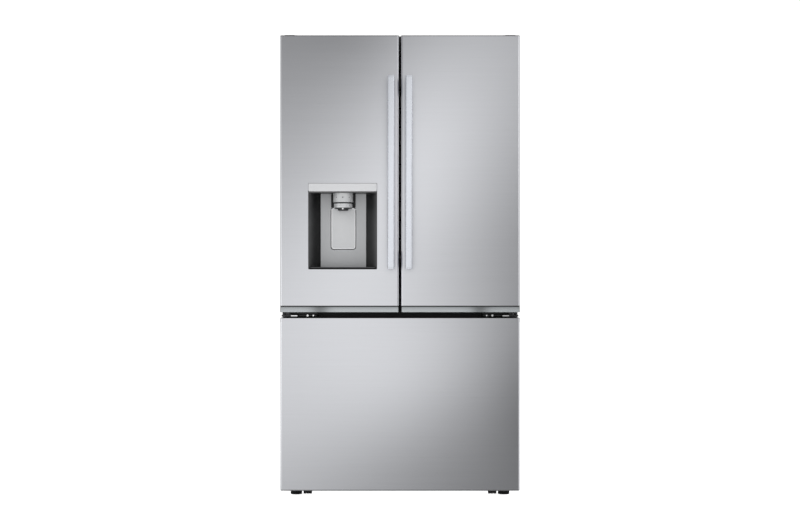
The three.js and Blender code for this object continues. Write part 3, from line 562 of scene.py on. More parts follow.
# Handles
handle = {"thick": 12.0, "corner": 5.4, "gap": 5.6, "neckInset": 0.5, "postLength": 60.0, "postInset": 4.0}
for hand in hands:
    x, y, z = boxOf(f"{hand}_handle")
    bar = (y[0], y[0] + handle["thick"])
    levels = [(1.8, z[0]), (0.9, z[0] + 0.3), (0.2, z[0] + 1.1), (0, z[0] + 2.2), (0, z[0] + 5.0)]
    low = [(grow(x, -i), grow(bar, -i * 0.8), handle["corner"], level) for i, level in levels]
    high = [(a, b, r, z[0] + z[1] - level) for a, b, r, level in low[::-1]]
    middleZ = grow(z, -handle["gap"])
    long = [(x, bar, handle["corner"], level) for level in (middleZ[0], z[0] + 90, z[1] - 90, middleZ[1])]
    necks = [insetRings(x, bar, [(handle["neckInset"], handle["corner"], level) for level in span])
             for span in ((z[0] + 4.8, middleZ[0] + 0.2), (middleZ[1] - 0.2, z[1] - 4.8))]
    post = (z[0] + handle["postInset"], z[0] + handle["postInset"] + handle["postLength"])
    posts = [softBox(grow(x, -4), (bar[1] - 1.5, y[1]), span, 2.5, 3, "plan")
             for span in (post, (z[0] + z[1] - post[1], z[0] + z[1] - post[0]))]
    makePiece(f"{hand}_bar_handle", f"{hand}_door",
              [("handleSatin", [loft(rings, "plan", 5) for rings in (low, long, high)] + posts),
               ("handleEnd", [loft(rings, "plan", 5) for rings in necks])], [f"{hand}_handle"])
print("handles")


# Ice and water dispenser
recess = {"frontHalf": 129.0, "backHalf": 88.5, "backY": -260.0, "ceiling": 1161.0, "plate": 0.8,
          "notchHalf": 47.0, "pocket": 2.4, "pocketDepth": 20.6, "pocketRadius": 10.5}
x, y, z = housingSpan
middle = (x[0] + x[1]) / 2
paddleX, paddleY, paddleZ = boxOf("dispenser_paddle")
paddleX = grow(paddleX, -5)
mouth = (around(middle, recess["frontHalf"]), (z[0] + 4.6, recess["ceiling"]))
back = (around(middle, recess["backHalf"]), (z[0] + 6, recess["ceiling"] - 1))
pocket = (grow(paddleX, recess["pocket"]), (paddleZ[0] - 2.4, paddleZ[1] + 2.2))
outside = insetRings(x, z, [(3, 4, y[1]), (0, 3, y[1] - 3), (0, 3, y[0] + 0.6), (0.4, 3, y[0])])
inside = [(*mouth, 3, y[0]), (grow(mouth[0], -0.6), grow(mouth[1], -0.4), 3, y[0] + 0.8),
          (*back, 3, recess["backY"]), (*pocket, recess["pocketRadius"], recess["backY"]),
          (*pocket, recess["pocketRadius"], recess["backY"] + recess["pocketDepth"])]
# The recess's walls carry painted shade, darkest at the back
makePiece("dispenser_recess", "left_door",
          [("recessPaintedShade", [loft(outside + inside, "front", 6)])], ["dispenser_housing"])

# The satin plate on the recess's back has an opening for the paddle, and behind the spout stands a near-black
# plate in painted shade
plateX, plateZ = grow(back[0], -1.6), (back[1][0] + 1.2, back[1][1] - 0.6)
plate = holedSheet(plateX, plateZ, [pocket], recess["backY"] - recess["plate"], "front",
                   recess["pocketRadius"])
makePiece("dispenser_back_plate", "left_door", [("recessPlate", plate)], thick=1.0)
backing = softBox(around(middle, recess["notchHalf"]), (recess["backY"] - 2.2, recess["backY"] - 1.4),
                  (pocket[1][1] - 1, plateZ[1]), 0.3, 2)
makePiece("spout_shade_plate", "left_door", [("recessPaintedShade", [backing])])

x, y, z = fasciaSpan
rings = insetRings(x, z, [(0.2, 5, y[1] - 0.2), (0, 5, y[1] - 1), (0, 5, y[0] + 2), (0.3, 5, y[0] + 0.9),
                          (1, 4.4, y[0] + 0.2), (2.2, 3.6, y[0])])
makePiece("dispenser_fascia_strip", "left_door",
          [("fasciaSatin", [loft(rings, "front", 6)])], ["dispenser_fascia"])

# The spout's profiles, as (radius, height), and that of the bright stud ahead of it, as (radius, depth)
spout = {"y": -290.0, "flat": -262.5, "studZ": 1101.0}
x, y, z = boxOf("dispenser_spout")
body = [(0, 1125.6), (33, 1125.6), (37, 1125.8), (37.8, 1126.6), (38, 1128), (38, z[1] + 4.4),
        (0, z[1] + 4.4)]
ring = [(0, 1104.6), (33.6, 1104.6), (35.1, 1105.2), (35.5, 1106.6), (35.5, 1112.4), (35.0, 1112.8),
        (35.0, 1113.6), (35.5, 1114), (35.5, 1119), (35.0, 1120.2), (33, 1120.6), (0, 1120.6)]
neck = [(0, 1120), (32.4, 1120), (32.4, 1126), (0, 1126)]
# under is a near-black disc below the ring, as painted shade beneath it
under = [(0, 1100.9), (32.0, 1100.9), (33.4, 1101.8), (33.4, 1104.9), (0, 1104.9)]
nozzle = [(0, z[0] + 1.5), (9, z[0] + 1.5), (9.6, z[0]), (18.6, z[0]), (20, z[0] + 1.2), (20.6, 1099),
          (22.4, 1104.8), (0, 1104.8)]
outlet = [(0, 1094.4), (6.2, 1094.4), (7.4, 1095.2), (7.4, 1098), (0, 1098)]
stud = [(radius, spout["y"] - ahead)
        for radius, ahead in ((0, 35.2), (2.2, 35.0), (3.2, 34.2), (3.2, 32.0), (0, 32.0))]


def flattened(profile, steps):  # the turned shape ends in a flat at the recess's back
    points, faces = turned((middle, spout["y"]), profile, "plan", steps)
    points[:, 1] = np.minimum(points[:, 1], spout["flat"])
    return points, faces


centre = (middle, spout["y"])
makePiece("spout_body", "left_door",
          [("spoutSatin", [flattened(body, 64)]), ("spoutChrome", [flattened(ring, 64)]),
           ("darkSeamAndShade", [flattened(neck, 48), turned(centre, nozzle, "plan", 48), flattened(under, 48)]),
           ("boltBright", [turned(centre, outlet, "plan", 24),
                           turned((middle, spout["studZ"]), stud, "front", 16)])], ["dispenser_spout"])
for name in ("left", "center", "right"):
    x, y, z = boxOf(f"{name}_spout_button")
    spot = ((x[0] + x[1]) / 2, (z[0] + z[1]) / 2)
    profile = [(0, y[0] + 0.3), (2.2, y[0] + 0.2), (3.3, y[0] + 0.1), (3.9, y[0] + 0.7), (4, y[0] + 1.4),
               (4, y[1] - 0.5), (3.5, y[1]), (0, y[1])]
    mark = [(0, y[0] - 0.1), (2.4, y[0] - 0.1), (2.6, y[0] + 0.5), (0, y[0] + 0.5)]
    makePiece(f"{name}_button_cap", f"{name}_spout_button",
              [("spoutSatin", [turned(spot, profile, "front", 24)]),
               ("markGrey", [turned(spot, mark, "front", 16)])], [f"{name}_spout_button"])

front = paddleY[0]
rim = insetRings(paddleX, paddleZ, [(1.2, 9, front + 6.0), (0, 10, front + 5.2), (0, 10, front + 1.2),
                                    (0.5, 9.5, front + 0.3), (1.4, 8.6, front), (3, 7.4, front + 0.3)])
inner = insetRings(paddleX, paddleZ, [(3, 7.4, front + 0.3), (5, 6, front + 0.9)])
pinX = grow(paddleX, 4.6)
pins = turned((-256.0, 1100.0), [(0, pinX[0]), (2.2, pinX[0]), (2.5, pinX[0] + 0.4), (2.5, pinX[1] - 0.4),
                                 (2.2, pinX[1]), (0, pinX[1])], "side", 16)
makePiece("paddle_plate", "dispenser_paddle",
          [("paddleRim", [loft(rim, "front", 6, caps=(True, False)), pins]),
           ("paddleSatin", [loft(inner, "front", 6, caps=(False, True))])], ["dispenser_paddle"])

# Drip tray: a base that narrows towards the back, a raised rim on each side, and upright slats
tray = {"slats": 13, "pitch": 13.2, "slatWidth": 3.2, "rim": 3}
x, y, z = boxOf("drip_tray")
frontHalf, backHalf = (x[1] - x[0]) / 2, recess["backHalf"] - 1.0
outline = [(middle - frontHalf, y[0]), (middle + frontHalf, y[0]), (middle + backHalf, y[1]),
           (middle - backHalf, y[1])]
trayParts = [prism(outline, (z[0], z[1] - 3.5), "plan")]
rimZ = (z[0] + 0.2, z[1])
for side in hands.values():
    edge = [(middle + side * frontHalf, y[0]), (middle + side * backHalf, y[1]),
            (middle + side * (backHalf - tray["rim"]), y[1]),
            (middle + side * (frontHalf - tray["rim"]), y[0])]
    trayParts.append(prism(edge, rimZ, "plan"))
trayParts.append(softBox(around(middle, frontHalf), (y[0], y[0] + tray["rim"]), rimZ, 0.5, 1))
trayParts.append(softBox(around(middle, backHalf), (y[1] - tray["rim"], y[1]), rimZ, 0.5, 1))
for step in range(tray["slats"]):
    slatX = around(middle + (step - (tray["slats"] - 1) / 2) * tray["pitch"], tray["slatWidth"] / 2)
    trayParts.append(softBox(slatX, grow(y, -2.5), (z[1] - 4, z[1] - 0.6), 0.4, 0.6))
makePiece("drip_tray_grille", "left_door", [("potBlack", trayParts)], ["drip_tray"])

# The cover of the dispenser inside the door
bulge = softBox(grow(housingSpan[0], 5), (-236.0, -215.0), (848, 1215), 5, 14)
makePiece("dispenser_inner_cover", "left_door", [("linerWhite", [bulge])])
print("dispenser")


# Inside the doors
iceBox = {"coverDepth": 24.5, "vents": 5, "latchX": (-92.0, -80.0), "latchZ": (1410, 1490)}
x, y, z = boxOf("ice_compartment")
shell = softBox(x, (y[0], y[1] - iceBox["coverDepth"]), z, 6, 16)
cover = softBox(grow(x, -6), (y[1] - iceBox["coverDepth"] - 0.5, y[1] - 4.2), grow(z, -6), 5, 14)
latch = softBox(iceBox["latchX"], (y[1] - 6, y[1]), iceBox["latchZ"], 2, 4)
panel = softBox(grow(x, -26), (y[1] - 4.6, y[1] - 3.6), (z[0] + 30, z[1] - 60), 0.4, 8)
vents = [softBox(grow(x, -60), (y[1] - 4.4, y[1] - 3.8), (level, level + 3), 0.25, 1.2)
         for level in np.linspace(z[1] - 52, z[1] - 22, iceBox["vents"])]
makePiece("ice_compartment_shell", "left_door",
          [("linerWhite", [shell, cover, panel]), ("tubRim", [latch]), ("gasketGrey", vents)],
          ["ice_compartment"])

flapHinge = {"x": -40.0, "y": -211.0, "radius": 5.8, "clear": 5.5}
x, y, z = boxOf("mullion_flap")
# The flap, like its catch, is near black as painted shade for the gap between the doors
flap = softBox((x[0] + flapHinge["clear"], x[1]), y, z, 1.2, 2.5, "plan")
r = flapHinge["radius"]
knuckle = turned((flapHinge["x"], flapHinge["y"]), [(0, z[0]), (r - 0.6, z[0]), (r, z[0] + 0.8),
                                                    (r, z[1] - 0.8), (r - 0.6, z[1]), (0, z[1])], "plan", 24)
makePiece("mullion_flap_body", "mullion_flap", [("flapPaintedShade", [flap, knuckle])],
          ["mullion_flap"])

for node, body in (("left_door_bin", "left_door"), ("upper_door_bin", "right_door"),
                   ("lower_door_bin", "right_door"), ("bottom_door_bin", "right_door")):
    x, y, z = boxOf(node)
    front = softBox(grow(x, -14), (y[1] - 1.6, y[1]), (z[1] - 13, z[1] - 1), 0.5, 3)
    ends = [softBox(span, (y[0] + 1, y[0] + 9), (z[0] + 8, z[1] - 2), 1.2, 2)
            for span in ((x[0], x[0] + 5), (x[1] - 5, x[1]))]
    makePiece(f"{node}_tub", body,
              [("clearTub", [tub(x, y, z, radius=14.0, draft=3.0)]), ("tubRim", [front] + ends)], [node])
print("inside the doors")


# Cabinet
case = {"sheet": 2.0, "corner": 10.0, "bottom": 30.0}
x, y, z = boxOf("outer_case")
z = (case["bottom"], z[1])
panelY = boxOf("rear_panel")[1][0] - 0.3
linerX, linerY, linerZ = boxOf("fridge_liner")
coldX, coldY, coldZ = boxOf("freezer_liner")
half, r = case["sheet"] / 2, case["corner"]
wrapX, topZ = grow(x, -half), z[1] - half
wrap = ([(wrapX[0], z[0])] + arc((wrapX[0] + r, topZ - r), r, 180, 90, 6)
        + arc((wrapX[1] - r, topZ - r), r, 90, 0, 6) + [(wrapX[1], z[0])])
wrapRows = [place(np.array(wrap), d, "front") for d in (y[0] + 1.2, y[0] + 60, panelY - 60, panelY)]
makePiece("case_wrap", "cabinet", [("caseGrey", [grid(np.array(wrapRows))])],
          ["outer_case"], thick=case["sheet"])
# The front flange and its crossbar: dark paint, darkened further to near black as painted shade in the gaps
# round the doors and drawer
flange = holedSheet(grow(x, -1.5), (z[0] + 1, z[1] - 1.5), [(linerX, linerZ), (coldX, coldZ)], y[0] + 0.8,
                    "front")
makePiece("case_front_flange", "cabinet", [("flangeDarkPaintAndShade", flange)], thick=1.4)

# Base pan with a slot for each wheel, and below it the cheeks beside the wheels, the front wheels' pins
# and the feet's sockets
bracket = {"frontY": -195.0, "rearY": 330.0, "pinZ": 19.8, "footX": 402.0, "slotHalf": 24,
           "cheeks": ((336.5, 339.5, -195.0), (375.5, 378.5, -195.0), (376, 380, 330.0))}
wheelX = grow(boxOf("front_right_roller")[0], 1.8)
slots = [(onSide(side, *wheelX), around(spotY, bracket["slotHalf"]))
         for side in hands.values() for spotY in (bracket["frontY"], bracket["rearY"])]
panXs = {v for slot in slots for v in slot[0]} | set(grow(x, -2))
panYs = {v for slot in slots for v in slot[1]} | {y[0] + 2, panelY - 1}
pan = holedSheet(panXs, panYs, slots, z[0] + 1, "plan")
makePiece("base_pan", "cabinet", [("galvanised", pan)], thick=1.6)

brackets = []
for side in hands.values():
    for near, far, spotY in bracket["cheeks"]:
        halfOutline = [(12, 31), (12, 19), (8, 12.5), (4, 11)]
        outline = ([(spotY - a, b) for a, b in halfOutline]
                   + [(spotY + a, b) for a, b in halfOutline[::-1]])
        brackets.append(prism(outline, onSide(side, near, far), "side"))
    pin = [(radius, side * far)
           for radius, far in ((0, 335.6), (4.6, 335.6), (5.4, 336.4), (4, 336.4),
                               (4, 378.6), (5.4, 378.6), (4.6, 379.6), (0, 379.6))]
    brackets.append(turned((bracket["frontY"], bracket["pinZ"]), pin, "side", 20))
    socket = [(5.4, 30), (9, 30), (12, 31), (12, 45), (5.4, 45), (5.4, 30)]
    brackets.append(turned((side * bracket["footX"], bracket["frontY"]), socket, "plan", 24))
makePiece("wheel_brackets", "cabinet", [("galvanised", brackets)])


def smoothStep(t):  # 3t^2 - 2t^3, held at 0 and 1 outside
    t = np.clip(t, 0, 1)
    return t ** 2 * (3 - 2 * t)


def panelScrew(spot, foot, tip):
    # Low domed head between two depths.
    return turned(spot, [(0, tip - 0.2), (2.2, tip - 0.3), (3.8, tip - 1.0), (4, foot), (0, foot)],
                  "front", 16)


# Rear panel: a sheet pushed out along upright ribs, the product of smooth steps in x and in z
rib = {"xs": (-330, -110, 110, 330), "near": 9, "far": 15, "z": (330.0, 1700.0), "height": 2.2,
       "slope": 6.0, "end": 8}
x, y, z = boxOf("rear_panel")
flanks = np.concatenate([np.linspace(-rib["far"], -rib["near"], 5), np.linspace(rib["near"], rib["far"], 5)])
across = sorted({x[0], x[1]} | {v for s in rib["xs"] for v in (s + flanks).tolist()})
low, high = rib["z"]
up = sorted({z[0], z[1]} | set(np.concatenate([np.linspace(low, low + rib["end"], 5),
                                               np.linspace(high - rib["end"], high, 5)]).tolist()))
a, b = np.meshgrid(across, up, indexing="ij")
nearest = np.abs(a[..., None] - np.array(rib["xs"])).min(-1)
height = (smoothStep((rib["far"] - nearest) / rib["slope"]) * smoothStep((b - low) / rib["end"])
          * smoothStep((high - b) / rib["end"]))
points = np.stack([a, y[0] + 0.6 + (rib["height"] - 0.6) * height, b], -1)
spots = [(sx, sz) for sx in (x[0] + 9, -150, 150, x[1] - 9) for sz in (z[0] + 10, z[1] - 10)]
spots += [(sx, sz) for sx in (x[0] + 9, x[1] - 9) for sz in np.linspace(z[0] + 260, z[1] - 260, 4)]
makePiece("rear_panel_sheet", "cabinet", [("galvanised", [grid(points)])],
          ["rear_panel"], thick=0.8)
makePiece("rear_panel_screws", "cabinet",
          [("hingeSteel", [panelScrew(spot, y[0] + 0.9, y[1]) for spot in spots])])

vent = {"starts": (-370, 60), "count": 9, "pitch": 22.0, "width": 9.0, "z": (95.0, 205.0)}
inlets = {"power": (330.0, 80.0), "powerHalf": 18.5, "water": (-410.0, 80.0), "waterHalf": 12.5}
x, y, z = boxOf("machine_cover")
sheetY = panelY + 1.0
slots = [((s + vent["pitch"] * i, s + vent["pitch"] * i + vent["width"]), vent["z"])
         for s in vent["starts"] for i in range(vent["count"])]
slots += [tuple(around(v, inlets[name + "Half"]) for v in inlets[name]) for name in ("power", "water")]
cover = holedSheet({x[0], x[1]}, {z[0], z[1]}, slots, sheetY, "front")
gland = [(0, 383.2), (18.6, 383.2), (18.8, 394), (18.8, 396.6), (17.6, y[1]), (12, y[1]), (9.6, 396.4),
         (7.4, 394.4), (0, 394.4)]
inlet = [(0, 381.2), (12.6, 381.2), (12.8, 394), (12.8, 397.4), (12.2, y[1]), (9, y[1]), (8.2, 397.2),
         (8, 389), (0, 389)]
screws = [panelScrew((sx, sz), sheetY, y[1]) for sx in (x[0] + 9, 0, x[1] - 9) for sz in (z[0] + 8, z[1] - 8)]
makePiece("machine_cover_sheet", "cabinet", [("galvanised", cover)],
          ["machine_cover"], thick=0.9)
makePiece("power_gland", "cabinet",
          [("blackPlastic", [turned(inlets["power"], gland, "front", 32)])])
makePiece("water_inlet", "cabinet",
          [("tubRim", [turned(inlets["water"], inlet, "front", 28)])])
makePiece("machine_cover_screws", "cabinet", [("hingeSteel", screws)])
print("cabinet shell")

# Inner walls
room = {"half": 402.0, "floor": 737.0, "ceiling": 1716.0, "back": 330.0, "radius": 22.0}
x, z = (-room["half"], room["half"]), (room["floor"], room["ceiling"])
front = linerY[0]
rings = insetRings(x, z, [(-1.2, 4, front + 0.6), (0, 6, front + 2.4), (0, 14, front + 16),
                          (0, room["radius"], room["back"] - 14), (4, 20, room["back"] - 4),
                          (14, 14, room["back"] + 0.4)])
makePiece("fridge_inner_walls", "cabinet",
          [("linerWhite", [loft(rings, "front", 6, caps=(False, True))])], ["fridge_liner"], thick=1.2)
ledges = []
for side in hands.values():
    for level in (1160.0, 1400.0):
        ledges.append(softBox(onSide(side, 394, 402), (-40, 300), (level - 14, level - 0.3), 2, 3, "side"))
    for level in (1500.0, 1610.0):
        ledges.append(softBox(onSide(side, 399, 402), (-20, 300), (level - 5, level), 1, 2, "side"))
    for near in (60, 300):
        ledges.append(softBox(onSide(side, near, near + 14), (-150, 310), (736.5, 744.7), 1.5, 3, "plan"))
lamps = [softBox((-150, 150), (-60, 60), (1712.5, 1716), 1, 10, "plan")]
lamps += [softBox(onSide(side, 399.5, 402.0), (-170, -130), (1100, 1600), 1, 6, "side")
          for side in hands.values()]
catch = softBox((-44, 44), (-219.5, -192), (1694, 1715.5), 2, 4, "plan")
makePiece("flap_catch", "cabinet", [("flapPaintedShade", [catch])])
makePiece("fridge_ledges", "cabinet", [("linerWhite", ledges), ("lampPanel", lamps)])

# The freezer's back steps forward below stepZ, over the machine bay
cold = {"floor": 92.0, "ceiling": 662.0, "back": 255.0, "stepY": 150.0, "stepZ": 330.0, "radius": 16}
z, upper = (cold["floor"], cold["ceiling"]), (cold["stepZ"], cold["ceiling"])
front, r = coldY[0], cold["radius"]
rings = insetRings(x, z, [(-1.2, 4, front + 0.6), (0, 6, front + 2.4), (0, r, front + 20),
                          (0, r, cold["stepY"] - 2)])
rings += [(grow(x, -0.5), (z[0] + 6, z[1]), r, cold["stepY"]),
          (grow(x, -0.5), (upper[0] - 2, upper[1]), r, cold["stepY"] + 0.4)]
rings += insetRings(x, upper, [(0, r, cold["stepY"] + 3), (0, r, cold["back"] - 10), (10, 12, cold["back"])])
makePiece("freezer_inner_walls", "cabinet",
          [("linerWhite", [loft(rings, "front", 6, caps=(False, True))])], ["freezer_liner"], thick=1.2)
basketZ = boxOf("upper_basket")[2]
ledges = [softBox(onSide(side, 390, 402), (-202, 245), (basketZ[0] - 8, basketZ[0] - 0.3), 1.5, 2.5, "side")
          for side in hands.values()]
makePiece("freezer_ledges", "cabinet", [("linerWhite", ledges)])

x, y, z = boxOf("air_tower")
louvres = [softBox(grow(x, -16), (y[0] - 0.1, y[0] + 1), (level, level + 5), 0.4, 2)
           for level in np.linspace(z[0] + 50, z[1] - 70, 9)]
makePiece("air_tower_cover", "cabinet",
          [("linerWhite", [softBox(x, y, z, 4, 12)]), ("markGrey", louvres)], ["air_tower"])

shelf = {"glass": 4.0, "glassLow": 5.0}
for node in ("upper_left_shelf", "upper_right_shelf", "middle_shelf", "crisper_cover"):
    x, y, z = boxOf(node)
    level = (z[0] + shelf["glassLow"], z[0] + shelf["glassLow"] + shelf["glass"])
    glass = softBox(grow(x, -5), (y[0] + 8, y[1] - 6), level, 0.6, 3, "plan")
    barZ = (z[0] + 4, z[0] + 11)
    rims = [softBox(x, (y[0], y[0] + 10), z, 2.4, 3.5, "side"),
            softBox(x, (y[1] - 9, y[1]), barZ, 1.2, 2, "side")]
    rims += [softBox(span, (y[0] + 9, y[1] - 8), barZ, 1.2, 2)
             for span in ((x[0], x[0] + 8), (x[1] - 8, x[1]))]
    makePiece(f"{node}_glass", "cabinet", [("shelfGlass", [glass])], [node])
    makePiece(f"{node}_frame", "cabinet", [("tubRim", rims)])

for hand in hands:
    x, y, z = boxOf(f"{hand}_crisper")
    shell = tub(x, (y[0] + 8, y[1]), z, radius=18, draft=6)
    lip = softBox(x, (y[0], y[0] + 10), (z[1] - 30, z[1]), 2.5, 6)
    grip = softBox(grow(x, -90), (y[0], y[0] + 1.4), (z[1] - 22, z[1] - 9), 0.5, 5)
    makePiece(f"{hand}_crisper_tub", f"{hand}_crisper",
              [("clearTub", [shell]), ("tubRim", [lip]), ("markGrey", [grip])], [f"{hand}_crisper"])
print("fresh food room")

x, y, z = boxOf("upper_basket")
runners = [softBox(onSide(side, 380, 399), (y[0] + 5, y[1]), (z[0], z[0] + 5), 1, 2, "side")
           for side in hands.values()]
makePiece("upper_basket_tub", "upper_basket",
          [("clearTub", [tub((-386, 386), y, z, radius=24, draft=6)]), ("tubRim", runners)],
          ["upper_basket"])
x, y, z = boxOf("lower_basket")
hookZ = (drawer["armZ"][1] + 0.3, drawer["armZ"][1] + 4)
hooks = [softBox(onSide(side, 364, 382), (y[0] + 5, y[1]), hookZ, 0.8, 1.5, "side")
         for side in hands.values()]
divider = softBox((-2, 2), grow(y, -12), (z[0] + 4, z[0] + 200), 1, 1.5, "plan")
makePiece("lower_basket_tub", "freezer_drawer",
          [("clearTub", [tub((-371, 371), y, z, radius=30, draft=8), divider]), ("tubRim", hooks)],
          ["lower_basket"])

# Drawer slides: C sections, open towards the drawer
slide = {"wall": 1.4, "lip": 5}
for hand, side in hands.items():
    for node, body in ((f"{hand}_drawer_rail", "cabinet"), (f"{hand}_mid_rail", f"{hand}_mid_rail")):
        x, y, z = boxOf(node)
        t, lip = slide["wall"], slide["lip"]
        outer, inner = (x[1], x[0]) if side > 0 else (x[0], x[1])
        hollow, lipX = outer - side * t, inner + side * t
        outline = [(outer, z[0]), (inner, z[0]), (inner, z[0] + lip), (lipX, z[0] + lip), (lipX, z[0] + t),
                   (hollow, z[0] + t), (hollow, z[1] - t), (lipX, z[1] - t), (lipX, z[1] - lip),
                   (inner, z[1] - lip), (inner, z[1]), (outer, z[1])]
        makePiece(f"{node}_channel", body,
                  [("galvanised", [prism(outline, y, "front")])], [node])
print("freezer")


# Hinges
def screwHead(spot, depth, plane, radius):
    # Flat head with a bevelled edge, facing lower depths.
    profile = [(0, depth), (radius - 0.8, depth), (radius, depth + 0.8), (radius, depth + 4.4),
               (0, depth + 4.4)]
    return turned(spot, profile, plane, 20)


hinge = {"x": 424.0, "y": -280.0, "armZ": (690.5, 696.5), "headZ": 693.5, "headY": -268.2,
         "heads": ((332, 3.6), (354, 4.6))}
topPin = [(0, 1756.6), (6, 1756.6), (6, 1758.8), (9, 1759.2), (9, 1761), (0, 1761)]
centrePin = [(0, 690.2), (9, 690.2), (10, 696.8), (10, 703), (9.2, 704), (6, 704), (6, 707.8), (0, 707.8)]
for hand, side in hands.items():
    pinSpot = (side * hinge["x"], hinge["y"])
    x, y, z = boxOf(f"{hand}_hinge_cover")
    neckX = onSide(side, 396, 438)
    cover = [softBox(onSide(side, 405, 446), (y[0] + 64, y[1]), (z[0] + 3, z[1] - 3.6), 1.6, 6, "plan"),
             softBox(neckX, (y[0] + 34, y[0] + 70), (z[0], z[0] + 4.4), 1.4, 6, "plan"),
             softBox(neckX, (y[0] + 64, y[0] + 75), (z[0], z[1] - 4.6), 1.4, 3, "plan")]
    makePiece(f"{hand}_top_cover", "cabinet", [("blackPlastic", cover)],
              [f"{hand}_hinge_cover"])
    x, y, z = boxOf(f"{hand}_top_hinge")
    plateX, noseX = onSide(side, 398, 448), onSide(side, 404, 440)
    leaf = softBox(plateX, (y[1] - 100, y[1]), (1770.3, z[1]), 0.5, 4, "plan")
    drop = softBox(plateX, (-226, -221.5), (1759, z[1]), 0.8, 2)
    nose = softBox(noseX, (y[0], -224), (1759, 1763), 0.6, 10, "plan")
    makePiece(f"{hand}_top_hinge_plate", "cabinet",
              [("hingeSteel", [leaf, drop, nose, turned(pinSpot, topPin, "plan", 24)])],
              [f"{hand}_top_hinge"])
    x, y, z = boxOf(f"{hand}_center_hinge")
    # Wall, arm, tip and pin are near black as painted shade in the gap; only the bolt heads stay bright
    wall = softBox(x, (-229, y[1]), (688.5, 706), 0.9, 3)
    arm = softBox(x, (-266, -227.5), hinge["armZ"], 0.8, 4, "plan")
    tip = softBox(onSide(side, 388, 451.5), (y[0], -262), hinge["armZ"], 0.8, 8, "plan")
    heads = [screwHead((side * spotX, hinge["headZ"]), hinge["headY"], "front", radius)
             for spotX, radius in hinge["heads"]]
    heads.append(softBox(onSide(side, 390, 416), (-301.6, -296), (691.0, 696.0), 0.8, 2.4))
    makePiece(f"{hand}_center_bracket", "cabinet",
              [("hingePaintedShade", [wall, arm, tip, turned(pinSpot, centrePin, "plan", 28)]),
               ("boltBright", heads)],
              [f"{hand}_center_hinge"])
print("hinges")


# Feet and wheels
foot = {"thread": 4.3, "crest": 0.7, "halfPitch": 1.25, "turns": 20, "nutRadius": 9, "nutZ": (21.2, 27.4)}
pad = [(0, 0), (21.4, 0), (22.1, 0.5), (22.3, 1.4), (22.2, 19.6), (21.6, 20.6), (15, 21.4), (0, 21.4)]
stem = [(0, 21)] + [(foot["thread"] + foot["crest"] * (i % 2), 21.2 + foot["halfPitch"] * i)
                    for i in range(foot["turns"])] + [(0, 46.9)]
corners = np.radians(np.arange(0, 360, 60))
for hand, side in hands.items():
    x, y, z = boxOf(f"{hand}_foot")
    centre = ((x[0] + x[1]) / 2, (y[0] + y[1]) / 2)
    nut = np.array(centre) + foot["nutRadius"] * np.stack([np.cos(corners), np.sin(corners)], -1)
    makePiece(f"{hand}_foot_pad", f"{hand}_foot",
              [("footRubber", [turned(centre, pad, "plan", 40)]),
               ("hingeSteel", [turned(centre, stem, "plan", 24), prism(nut, foot["nutZ"], "plan")])],
              [f"{hand}_foot"])


def wheel(spot, span, radius, bore):
    # Section of a tyre with two grooves, as (radius, x), turned about X; a wheel is open along its bore.
    a, b = span
    third = (b - a) / 3
    tread = [(radius - 1.5, a), (radius, a + 1.5)]
    for groove in (a + third, b - third):
        tread += [(radius, groove - 1.4), (radius - 1.6, groove - 0.6), (radius - 1.6, groove + 0.6),
                  (radius, groove + 1.4)]
    tread += [(radius, b - 1.5), (radius - 1.5, b), (radius * 0.72, b), (radius * 0.66, b - 2),
              (bore + 3.2, b - 2), (bore + 2.6, b), (bore, b), (bore, a), (bore + 2.6, a),
              (bore + 3.2, a + 2), (radius * 0.66, a + 2), (radius * 0.72, a), (radius - 1.5, a)]
    return turned(spot, tread, "side", 36)


wheels = {"frontRadius": 19.6, "frontBore": 4.5, "rearRadius": 19.0, "rearBore": 5.0, "rearX": (341.5, 373.5)}
for hand in hands:
    x, y, z = boxOf(f"front_{hand}_roller")
    spot = ((y[0] + y[1]) / 2, (z[0] + z[1]) / 2)
    tyre = wheel(spot, x, wheels["frontRadius"], wheels["frontBore"])
    makePiece(f"front_{hand}_wheel", f"front_{hand}_roller", [("footRubber", [tyre])],
              [f"front_{hand}_roller"])
x, y, z = boxOf("rear_rollers")
spot = ((y[0] + y[1]) / 2, (z[0] + z[1]) / 2)
axle = turned(spot, [(0, x[0]), (4.4, x[0]), (5, x[0] + 0.8), (5, x[1] - 0.8), (4.4, x[1]), (0, x[1])],
              "side", 24)
tyres = [wheel(spot, onSide(side, *wheels["rearX"]), wheels["rearRadius"], wheels["rearBore"])
         for side in hands.values()]
makePiece("rear_wheels", "rear_rollers",
          [("blackPlastic", tyres), ("hingeSteel", [axle])], ["rear_rollers"])

# CAD nodes hidden behind panels stay as they are and only take a finish
for node, look, slot in (("insulation", "foamCream", "foam"), ("evaporator", "finMetal", "evaporator_fins"),
                         ("compressor", "potBlack", "compressor_paint"),
                         ("condenser_fan", "blackPlastic", "black_plastic")):
    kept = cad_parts[node]
    kept.data.materials.clear()
    kept.data.materials.append(looks[look])
print("wheels and machine bay")


# Studio

studio = {"world": 0.75, "floor": 0.9, "floorRadius": 17000, "dome": 1.1, "domeRadius": 17900,
          "domeLow": -2000, "middleZ": 0.885}
card = {"y": -1.0, "x": (-0.85, 0.85), "z": (-0.5, 2.25), "outer": 2.6, "reach": 1.121}
scene = bpy.context.scene
scene.view_settings.view_transform = "Standard"
world = bpy.data.worlds.new("studioWorld")
world.use_nodes = True
world.node_tree.nodes["Background"].inputs[0].default_value = (1, 1, 1, 1)
world.node_tree.nodes["Background"].inputs[1].default_value = studio["world"]
scene.world = world


def stageMesh(name, patch, look, rays):
    points, faces = patch
    mesh = bpy.data.meshes.new(name)
    mesh.from_pydata((points * mm).tolist(), [], faces)
    mesh.materials.append(look)
    made = bpy.data.objects.new(name, mesh)
    scene.collection.objects.link(made)
    for ray in ("camera", "diffuse", "glossy", "transmission", "shadow"):
        setattr(made, f"visible_{ray}", ray in rays)
    made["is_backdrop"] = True
    return made


